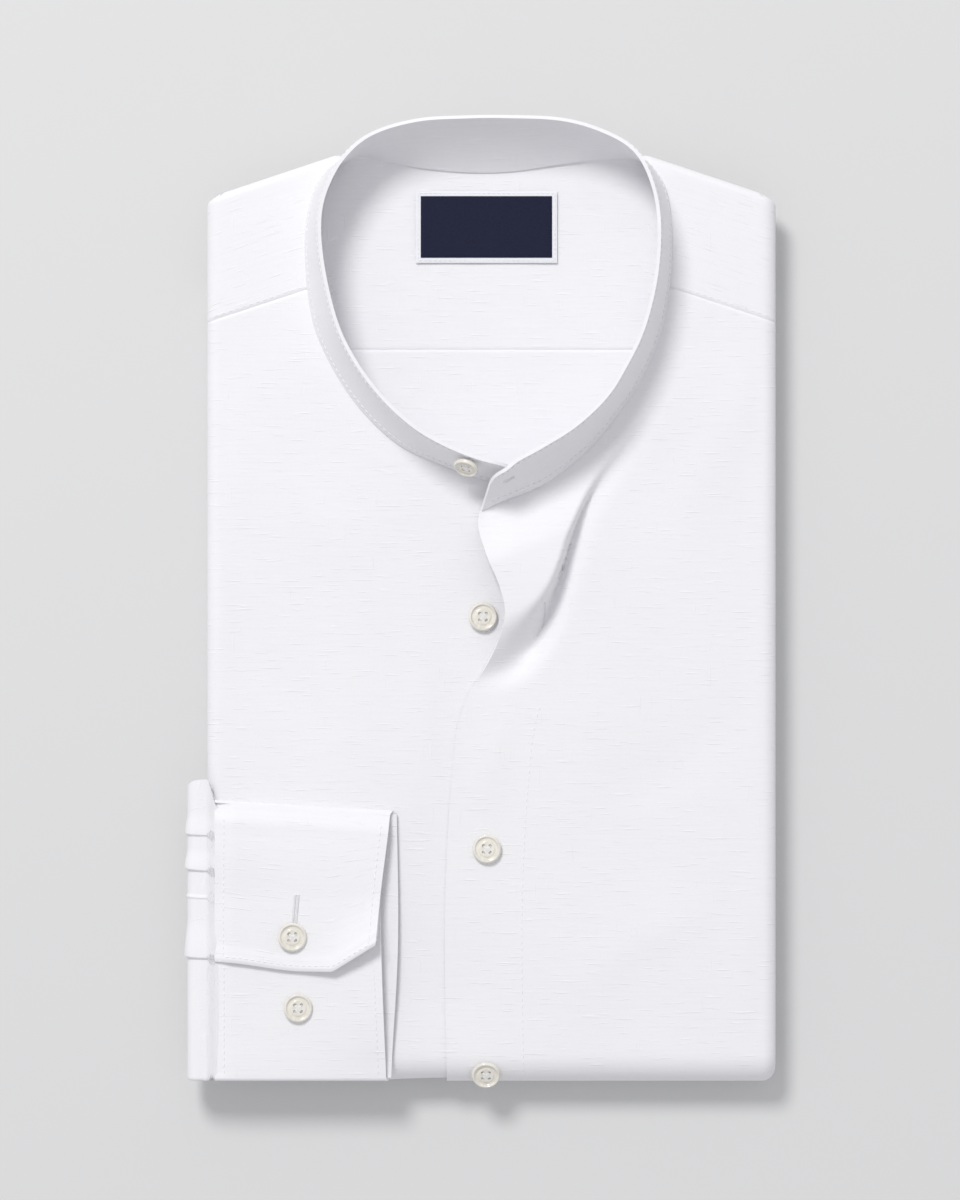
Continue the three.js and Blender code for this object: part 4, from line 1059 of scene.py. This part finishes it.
def make_button(name, seat, axis, size=1.0):
    radius = np.concatenate([np.linspace(0.05, 3.0, 34), np.linspace(3.0, BUTTON_RADIUS, 23)[1:]])
    angle = np.linspace(0, 2 * math.pi, 120, endpoint=False)
    r, a = np.meshgrid(radius, angle, indexing="ij")
    x, y = r * np.cos(a), r * np.sin(a)
    hole = BUTTON_HOLES["offset"]
    holes = np.min([np.hypot(x - sx * hole, y - sy * hole) for sx in (-1, 1) for sy in (-1, 1)], axis=0)
    top = np.stack([x, y, button_height(r, holes)], axis=-1)
    wall = []
    for share, height in ((1.0, 0.9), (0.96, 0.35), (0.86, 0.05), (0.5, 0.0), (0.01, 0.0)):
        ring = top[-1].copy()
        ring[:, :2] *= share
        ring[:, 2] = height
        wall.append(ring)
    points = np.concatenate([top, np.array(wall)])
    points[..., :2] *= size
    verts = points.reshape(-1, 3)
    index = np.arange(len(verts)).reshape(points.shape[:2])
    turned = np.roll(index, -1, axis=1)
    corners = [index[:-1], index[1:], turned[1:], turned[:-1]]
    faces = np.stack([corner.ravel() for corner in corners], axis=1)
    mesh = bpy.data.meshes.new(name)
    faces = [*faces.tolist(), index[0][::-1].tolist(), index[-1].tolist()]
    mesh.from_pydata((verts * MM).tolist(), [], faces)
    mesh.validate()
    mesh.shade_smooth()
    mesh.set_sharp_from_angle(angle=math.radians(55))
    obj = new_object(name, mesh)
    turn = Vector((0, 0, 1)).rotation_difference(Vector(axis)).to_matrix().to_4x4()
    obj.matrix_world = Matrix.Translation(Vector(to_frame(seat).tolist())) @ turn
    bpy.context.view_layer.update()
    finish_piece(obj, material("button"), "button", name)
    make_button_thread(name, obj.matrix_world)


def tube_mesh(name, lines, radius, sides=8):
    """Round threads along lines of points, in one mesh."""
    verts, faces = [], []
    for line in lines:
        line = np.asarray(line, float)
        ahead = np.gradient(line, axis=0)
        ahead /= np.linalg.norm(ahead, axis=1)[:, None] + 1e-12
        across = np.cross(ahead, [0.02, 0.05, 1.0])
        across /= np.linalg.norm(across, axis=1)[:, None] + 1e-12
        up = np.cross(across, ahead)
        start = len(verts)
        ends = np.ones(len(line))
        ends[0] = ends[-1] = 0.35
        for k in range(len(line)):
            for s in range(sides):
                angle = 2 * math.pi * s / sides
                offset = math.cos(angle) * across[k] + math.sin(angle) * up[k]
                verts.append((line[k] + radius * ends[k] * offset).tolist())
        for k in range(len(line) - 1):
            for s in range(sides):
                a, b = start + k * sides + s, start + k * sides + (s + 1) % sides
                faces.append([a, b, b + sides, a + sides])
        faces.append([start + s for s in range(sides)][::-1])
        faces.append([start + (len(line) - 1) * sides + s for s in range(sides)])
    mesh = bpy.data.meshes.new(name)
    mesh.from_pydata(verts, [], faces)
    mesh.shade_smooth()
    return mesh


def make_button_thread(name, place):
    """Thread crossing between the holes and a shank under the button."""
    lines = []
    for k, (sx, sy) in enumerate(((1, 1), (1, -1))):
        for strand in (-0.22, 0.0, 0.22):
            t = np.linspace(-1, 1, 11)
            x = BUTTON_HOLES["offset"] * sx * t - strand * sy
            y = BUTTON_HOLES["offset"] * sy * t + strand * sx
            z = 1.28 + 0.16 * k + 0.12 * np.cos(t * math.pi / 2) - 0.9 * ease(np.abs(t), 0.86, 1.0)
            lines.append(np.stack([x, y, z], axis=1) * MM)
    shank = np.stack([np.zeros(4), np.zeros(4), np.linspace(-0.35, 0.1, 4)], axis=1) * MM
    mesh = tube_mesh(f"{name}_thread", lines, 0.15 * MM)
    work = bmesh.new()
    work.from_mesh(mesh)
    stem = tube_mesh(f"{name}_stem", [shank], 0.9 * MM, sides=14)
    work.from_mesh(stem)
    bpy.data.meshes.remove(stem)
    work.to_mesh(mesh)
    work.free()
    mesh.shade_smooth()
    obj = new_object(f"{name}_thread", mesh)
    obj.matrix_world = place
    bpy.context.view_layer.update()
    finish_piece(obj, material("thread"), "linen")


# Buttons lying on the fronts: the front's side, place along it, lift off the cloth and lean.
FRONT_BUTTONS = table(
    "name side distance x y lift axis",
    ("front_button_2", -1, 3.0, -3.4, 0.8, 0.45, (0.03, 0.05, 1.0)),
    ("front_button_3", 1, -1.8, -1.8, -90.9, 0.4, (-0.04, 0.05, 1.0)),
)
CUFF_BUTTONS = table("name part stage", ("cuff_button_1", 0.475, 4.79), ("cuff_button_2", 0.495, 0.6))
CUFF_BUTTON_AXIS = (0.05, -0.04, 1.0)
BUTTON_LIFT = {"fold": 0.4, "cuff": 0.45}


def make_buttons():
    for row in FRONT_BUTTONS:
        top = front_point(row["side"], np.array([row["distance"]]), np.array([row["y"]]))[0]
        make_button(row["name"], (row["x"], row["y"], top[2] + row["lift"]), row["axis"])
    tilt = FOLD_BUTTON["tilt"]
    outward = np.array([0, -math.sin(tilt), math.cos(tilt)])
    down = np.array([0, -math.cos(tilt), -math.sin(tilt)])
    seat = np.array([FOLD_BUTTON["x"], FOLD_AXIS, MIDDLE])
    seat = seat + outward * (MIDDLE + BUTTON_LIFT["fold"]) + down * FOLD_BUTTON["below"]
    make_button("front_button_4", seat, outward)
    part = BAND_BUTTON["part"]
    near = band_point(part + np.array([0.01, -0.01]), np.zeros(2))
    ahead = near[0] - near[1]
    side = np.array([ahead[1], -ahead[0], 0]) / np.hypot(ahead[0], ahead[1])
    seat = band_point(np.array([part]), np.array([BAND_BUTTON["height"]]))[0]
    seat = seat + BAND_BUTTON["shank"] * side
    lean = BAND_BUTTON["lean"]
    axis = side * math.sin(lean) + np.array([0, 0, math.cos(lean)])
    make_button("band_button", seat, axis, BAND_BUTTON_RADIUS / BUTTON_RADIUS)
    for row in CUFF_BUTTONS:
        seat = cuff_point(row["part"], row["stage"]) + np.array([0, 0, BUTTON_LIFT["cuff"]])
        make_button(row["name"], seat, CUFF_BUTTON_AXIS)


# ---- Stitching and buttonholes ----
# Length and pitch of the stitches of each row.
BODY_STITCH = (2.1, 2.8)
FINE_STITCH = (1.9, 2.5)
LABEL_STITCH = (1.3, 1.9)
SHOULDER_STITCH = {"from_x": 74.5, "to_x": 110.0, "off_seam": 1.4}
BAND_STITCH = {"from": 0.012, "to": 0.985, "above_seam": 0.07, "below_rim": 0.075, "lift": 0.02}
CUFF_STITCH = {"at_seam": 0.055, "at_mouth": 0.955, "at_edge": 4.965}
LABEL_STITCH_INSET = 0.9
BUTTONHOLE_PITCH = 0.36
CUFF_BUTTONHOLE = {
    "from_y": -121.3,
    "to_y": -108.5,
    "middle_y": -115.0,
    "x": -77.6,
    "lean": 0.05,
    "mouth_x": -44.5,
}
FRONT_BUTTONHOLE = {"half": 7, "from_edge": 15.4}
BAND_BUTTONHOLE = {"from": 0.034, "to": 0.056, "height": 0.5}


def resample(line, pitch):
    line = np.asarray(line, float)
    along = lengths(line)
    count = max(2, int(along[-1] / pitch))
    at = (np.arange(count) + 0.5) * along[-1] / count
    return along, at, line


def stitch_row(line, outward, length, pitch):
    """Short thread segments that dip into the cloth at both ends."""
    along, at, line = resample(line, pitch)
    rows = []
    for centre in at:
        t = np.linspace(-0.5, 0.5, 5)
        place = np.stack([np.interp(centre + t * length, along, line[:, k]) for k in range(3)], axis=1)
        normal = np.array([np.interp(centre, along, outward[:, k]) for k in range(3)])
        normal /= np.linalg.norm(normal)
        sink = 0.13 - 0.28 * (2 * np.abs(t)) ** 3
        rows.append(to_frame(place + sink[:, None] * normal))
    return rows


def surface_line(place, a, b):
    """Points and outward directions of a surface function along a line of its two coordinates."""
    a, b = np.asarray(a, float), np.asarray(b, float)
    step = 0.05
    points = place(a, b)
    da = place(a + step, b) - place(a - step, b)
    db = place(a, b + step) - place(a, b - step)
    outward = np.cross(da, db)
    outward /= np.linalg.norm(outward, axis=-1)[:, None] + 1e-12
    return points, outward


def stitch_piece(name, rows, radius):
    obj = new_object(name, tube_mesh(name, rows, radius * MM, sides=6))
    finish_piece(obj, material("thread"), "linen")


def left_front_line(xs, runs):
    return surface_line(lambda a, b: front_point(1, a, b), xs, runs)


def cuff_line(part, stage):
    points, outward = surface_line(cuff_point, part, stage)
    return points, -outward


def make_stitching():
    rows = []
    runs = np.linspace(-34, -205, 200)
    placket = free_edge(np.maximum(runs, EDGE_END)) + PLACKET_WIDTH
    rows += stitch_row(*left_front_line(placket, runs), *BODY_STITCH)
    seam_x = np.linspace(SHOULDER_STITCH["from_x"], SHOULDER_STITCH["to_x"], 60)
    seam_run = shoulder_seam_y(seam_x) + SHOULDER_STITCH["off_seam"]
    seam_run = seam_run - (shoulder_fold_y(seam_x) - SHOULDER_RADIUS)
    for side in (1, -1):
        rows += stitch_row(*surface_line(yoke_point, side * seam_x, seam_run), *BODY_STITCH)
    stitch_piece("body_stitching", rows, 0.13)

    rows = []
    parts = np.linspace(BAND_STITCH["from"], BAND_STITCH["to"], 700)
    for level in (0 * parts + BAND_STITCH["above_seam"], band_top(parts) - BAND_STITCH["below_rim"]):
        points, outward = surface_line(band_point, parts, level)
        rows += stitch_row(points + BAND_STITCH["lift"] * outward, outward, *FINE_STITCH)
    stitch_piece("band_stitching", rows, 0.17)

    rows = []
    sides = (CUFF_STITCH["at_seam"], CUFF_STITCH["at_mouth"])
    upper = np.linspace(4.08, CUFF_STITCH["at_edge"], 130)
    edge = np.linspace(0.06, CUFF_STITCH["at_mouth"], 110)
    lower = np.linspace(0.36, 0.985, 90)
    lines = [(0 * upper + part, upper) for part in sides]
    lines += [(edge, 0 * edge + CUFF_STITCH["at_edge"])]
    lines += [(0 * lower + part, lower) for part in sides]
    for line in lines:
        rows += stitch_row(*cuff_line(*line), *FINE_STITCH)
    stitch_piece("cuff_stitching", rows, 0.17)

    rows = []
    half_w, half_h = LABEL_SIZE[0] / 2 - LABEL_STITCH_INSET, LABEL_SIZE[1] / 2 - LABEL_STITCH_INSET
    corners = [(-half_w, -half_h), (half_w, -half_h), (half_w, half_h), (-half_w, half_h), (-half_w, -half_h)]
    line = np.array([[x + LABEL_CENTRE[0], y + LABEL_CENTRE[1], LABEL_TOP_Z] for x, y in corners])
    for start, end in zip(line[:-1], line[1:]):
        side = lerp(start, end, np.linspace(0, 1, 20)[:, None])
        rows += stitch_row(side, np.tile([0.0, 0.0, 1.0], (20, 1)), *LABEL_STITCH)
    stitch_piece("label_stitching", rows, 0.12)


def buttonhole(points, outward, across):
    """A slit bound with close thread: two raised ribs of satin stitch."""
    rows = []
    along, at, line = resample(points, BUTTONHOLE_PITCH)
    for centre in at:
        middle = np.array([np.interp(centre, along, line[:, k]) for k in range(3)])
        for side in (-1, 1):
            t = np.linspace(0.15, 1.15, 4)
            bead = middle + (side * t)[:, None] * across + (0.12 + 0.16 * np.sin(t * 2.4))[:, None] * outward
            rows.append(to_frame(bead))
    for k in (0, -1):
        t = np.linspace(-1.1, 1.1, 7)
        rows.append(to_frame(line[k] + t[:, None] * across + 0.22 * outward))
    return rows


def make_buttonholes():
    hole = CUFF_BUTTONHOLE
    right = np.array([1.0, 0.0, 0.0])
    y = np.linspace(hole["from_y"], hole["to_y"], 20)
    x = hole["x"] + hole["lean"] * (y - hole["middle_y"])
    stage = 4 + (CUFF["top_y"] - y) / (CUFF["top_y"] - CUFF["overlap_y"])
    part = (x - CUFF["seam_x"]) / (hole["mouth_x"] - CUFF["seam_x"])
    rows = buttonhole(cuff_point(part, stage), np.array([0.0, 0.0, 1.0]), right)
    stitch_piece("cuff_buttonhole", rows, 0.16)
    runs = np.linspace(-FRONT_BUTTONHOLE["half"], FRONT_BUTTONHOLE["half"], 20)
    points, outward = left_front_line(free_edge(runs) + FRONT_BUTTONHOLE["from_edge"], runs)
    rows = buttonhole(points, outward[10], right)
    parts = np.linspace(BAND_BUTTONHOLE["from"], BAND_BUTTONHOLE["to"], 20)
    points, outward = surface_line(band_point, parts, 0 * parts + BAND_BUTTONHOLE["height"])
    across = np.cross(outward[10], points[-1] - points[0])
    rows += buttonhole(points, outward[10], across / np.linalg.norm(across))
    stitch_piece("front_buttonholes", rows, 0.1)


# ---- Stage ----
CAMERA_X, CAMERA_Y, CAMERA_RISE = -4.54, 7.5, 2200.0
VIEW_HEIGHT = 474.0
SENSOR = 36.0
FLOOR_REACH = 4.0
FLOOR_DROP = 0.0004
AMBIENT_COLOUR = (0.97, 0.975, 1.0, 1)
KEY_LIGHT = {"size": 0.95, "colour": (1.0, 0.995, 0.985), "place": (-0.9, 1.85, 2.65)}


def make_stage(sizes, colours):
    floor_mesh = bpy.data.meshes.new("floor")
    corners = [(FLOOR_REACH * sx, FLOOR_REACH * sy, 0) for sx, sy in ((-1, -1), (1, -1), (1, 1), (-1, 1))]
    floor_mesh.from_pydata(corners, [], [(0, 1, 2, 3)])
    floor = new_object("floor", floor_mesh)
    floor.location.z = -FLOOR_DROP
    floor_colour = (*colours.floor, 1.0)
    shader = Shader("floor_paint")
    shader.set(base_color=floor_colour, roughness=0.9, specular_ior_level=0.1)
    floor_mesh.materials.append(shader.material)

    world = bpy.data.worlds.new("studio")
    bpy.context.scene.world = world
    world.use_nodes = True
    world.node_tree.nodes.clear()
    nodes = Nodes(world.node_tree)
    camera_ray = nodes.node("ShaderNodeLightPath", {}, {}, output="Is Camera Ray")
    glossy_ray = Value(nodes, camera_ray.socket.node.outputs["Is Glossy Ray"])
    seen = nodes.node("ShaderNodeMath", {"operation": "MAXIMUM"}, {0: camera_ray, 1: glossy_ray})
    light = {"Color": AMBIENT_COLOUR, "Strength": sizes.ambient_light}
    ambient = nodes.node("ShaderNodeBackground", {}, light)
    backdrop = nodes.node("ShaderNodeBackground", {}, {"Color": floor_colour, "Strength": 1.0})
    mixed = nodes.node("ShaderNodeMixShader", {}, {0: seen, 1: ambient, 2: backdrop})
    nodes.node("ShaderNodeOutputWorld", {}, {"Surface": mixed})

    key = bpy.data.lights.new("key", "AREA")
    key.shape = "DISK"
    key.size = KEY_LIGHT["size"]
    key.energy = sizes.key_light
    key.color = KEY_LIGHT["colour"]
    lamp = new_object("key", key)
    lamp.location = KEY_LIGHT["place"]
    lamp.rotation_euler = (Vector((0, 0, 0)) - lamp.location).to_track_quat("-Z", "Y").to_euler()

    camera_data = bpy.data.cameras.new("camera")
    camera_data.sensor_width = SENSOR
    camera_data.lens = SENSOR * CAMERA_RISE / VIEW_HEIGHT
    camera = new_object("camera", camera_data)
    camera.location = to_frame([CAMERA_X, CAMERA_Y, THICKNESS + CAMERA_RISE]).tolist()
    bpy.context.scene.camera = camera
    bpy.context.scene.view_settings.view_transform = "Standard"


# ---- The add-on ----
class ShirtSizes(bpy.types.PropertyGroup):
    """Sizes and light levels that a user would change."""

    cloth_thickness: bpy.props.FloatProperty(
        name="Cloth", description="Thickness of the linen", default=0.0007, unit="LENGTH")
    band_thickness: bpy.props.FloatProperty(
        name="Band", description="Thickness of the neck band, with its inside layer",
        default=0.0014, unit="LENGTH")
    cuff_thickness: bpy.props.FloatProperty(
        name="Cuff", description="Thickness of the cuff, with its inside layer",
        default=0.0012, unit="LENGTH")
    thread_pitch: bpy.props.FloatProperty(
        name="Thread pitch", description="From thread to thread of the weave", default=0.00055, unit="LENGTH")
    weave_depth: bpy.props.FloatProperty(
        name="Weave depth", description="Relief of threads and slubs", default=0.00014, unit="LENGTH")
    ambient_light: bpy.props.FloatProperty(
        name="Ambient light", description="Strength of the even light from all round", default=0.63)
    key_light: bpy.props.FloatProperty(
        name="Key light", description="Power of the soft lamp", default=60.0, unit="POWER")


class ShirtColours(bpy.types.PropertyGroup):
    """Colours of the cloth, label, buttons and floor."""

    linen: bpy.props.FloatVectorProperty(
        name="Linen", description="Cloth at its lightest",
        default=(0.935, 0.93, 0.952, 1), size=4, subtype="COLOR")
    linen_shade: bpy.props.FloatVectorProperty(
        name="Linen shade", description="Cloth between slubs",
        default=(0.84, 0.836, 0.862, 1), size=4, subtype="COLOR")
    thread: bpy.props.FloatVectorProperty(
        name="Thread", description="Sewing thread",
        default=(0.93, 0.925, 0.935, 1), size=4, subtype="COLOR")
    label: bpy.props.FloatVectorProperty(
        name="Label", description="Woven base of the label",
        default=(0.88, 0.89, 0.94, 1), size=4, subtype="COLOR")
    patch: bpy.props.FloatVectorProperty(
        name="Patch", description="Bare patch of the label",
        default=(0.016, 0.019, 0.044, 1), size=4, subtype="COLOR")
    patch_shade: bpy.props.FloatVectorProperty(
        name="Patch shade", description="Patch between its threads",
        default=(0.011, 0.013, 0.032, 1), size=4, subtype="COLOR")
    button: bpy.props.FloatVectorProperty(
        name="Button", description="Button at its lightest",
        default=(0.85, 0.82, 0.75, 1), size=4, subtype="COLOR")
    button_shade: bpy.props.FloatVectorProperty(
        name="Button shade", description="Cloudy parts of the button",
        default=(0.74, 0.71, 0.64, 1), size=4, subtype="COLOR")
    floor: bpy.props.FloatVectorProperty(
        name="Floor", description="Floor and background",
        default=(0.708, 0.708, 0.708), size=3, subtype="COLOR")


class SHIRT_OT_hidden_layers(bpy.types.Operator):
    """Build the layers folded away inside"""

    bl_idname = "shirt.hidden_layers"
    bl_label = "Hidden layers"

    def execute(self, context):
        make_hidden_layers()
        return {"FINISHED"}


class SHIRT_OT_fronts(bpy.types.Operator):
    """Build both fronts, folded round the bottom and along the underside"""

    bl_idname = "shirt.fronts"
    bl_label = "Fronts"

    def execute(self, context):
        make_front("right_front", -1, context.scene.shirt_sizes)
        make_front("left_front", 1, context.scene.shirt_sizes)
        return {"FINISHED"}


class SHIRT_OT_yoke(bpy.types.Operator):
    """Build the yoke and the back below it"""

    bl_idname = "shirt.yoke"
    bl_label = "Yoke and back"

    def execute(self, context):
        make_yoke(context.scene.shirt_sizes)
        make_back(context.scene.shirt_sizes)
        return {"FINISHED"}


class SHIRT_OT_band(bpy.types.Operator):
    """Build the neck band"""

    bl_idname = "shirt.band"
    bl_label = "Neck band"

    def execute(self, context):
        make_band(context.scene.shirt_sizes)
        return {"FINISHED"}


class SHIRT_OT_sleeve(bpy.types.Operator):
    """Build the end of the sleeve and its cuff"""

    bl_idname = "shirt.sleeve"
    bl_label = "Sleeve and cuff"

    def execute(self, context):
        make_sleeve()
        make_cuff(context.scene.shirt_sizes)
        return {"FINISHED"}


class SHIRT_OT_label(bpy.types.Operator):
    """Build the bare neck label"""

    bl_idname = "shirt.label"
    bl_label = "Label"

    def execute(self, context):
        make_label()
        return {"FINISHED"}


class SHIRT_OT_buttons(bpy.types.Operator):
    """Build the buttons with their thread"""

    bl_idname = "shirt.buttons"
    bl_label = "Buttons"

    def execute(self, context):
        make_buttons()
        return {"FINISHED"}


class SHIRT_OT_stitching(bpy.types.Operator):
    """Build the rows of stitches and the buttonholes"""

    bl_idname = "shirt.stitching"
    bl_label = "Stitching"

    def execute(self, context):
        make_stitching()
        make_buttonholes()
        return {"FINISHED"}


class SHIRT_OT_stage(bpy.types.Operator):
    """Build the floor, the light and the camera"""

    bl_idname = "shirt.stage"
    bl_label = "Stage"

    def execute(self, context):
        make_stage(context.scene.shirt_sizes, context.scene.shirt_colours)
        return {"FINISHED"}


OPERATORS = [
    SHIRT_OT_hidden_layers,
    SHIRT_OT_fronts,
    SHIRT_OT_yoke,
    SHIRT_OT_band,
    SHIRT_OT_sleeve,
    SHIRT_OT_label,
    SHIRT_OT_buttons,
    SHIRT_OT_stitching,
    SHIRT_OT_stage,
]


class SHIRT_PT_panel(bpy.types.Panel):
    """Lists the steps that build the shirt"""

    bl_label = "Folded shirt"
    bl_idname = "SHIRT_PT_panel"
    bl_space_type = "VIEW_3D"
    bl_region_type = "UI"
    bl_category = "Shirt"

    def draw(self, context):
        for group in (context.scene.shirt_sizes, context.scene.shirt_colours):
            for name in group.bl_rna.properties.keys():
                if name not in {"rna_type", "name"}:
                    self.layout.prop(group, name)
        for operator in OPERATORS:
            self.layout.operator(operator.bl_idname)


CLASSES = [ShirtSizes, ShirtColours, *OPERATORS, SHIRT_PT_panel]


def register():
    for item in CLASSES:
        bpy.utils.register_class(item)
    bpy.types.Scene.shirt_sizes = bpy.props.PointerProperty(type=ShirtSizes)
    bpy.types.Scene.shirt_colours = bpy.props.PointerProperty(type=ShirtColours)


def unregister():
    del bpy.types.Scene.shirt_colours
    del bpy.types.Scene.shirt_sizes
    for item in reversed(CLASSES):
        bpy.utils.unregister_class(item)


def main():
    register()
    for operator in OPERATORS:
        group, name = operator.bl_idname.split(".")
        getattr(getattr(bpy.ops, group), name)()


if __name__ == "__main__":
    main()
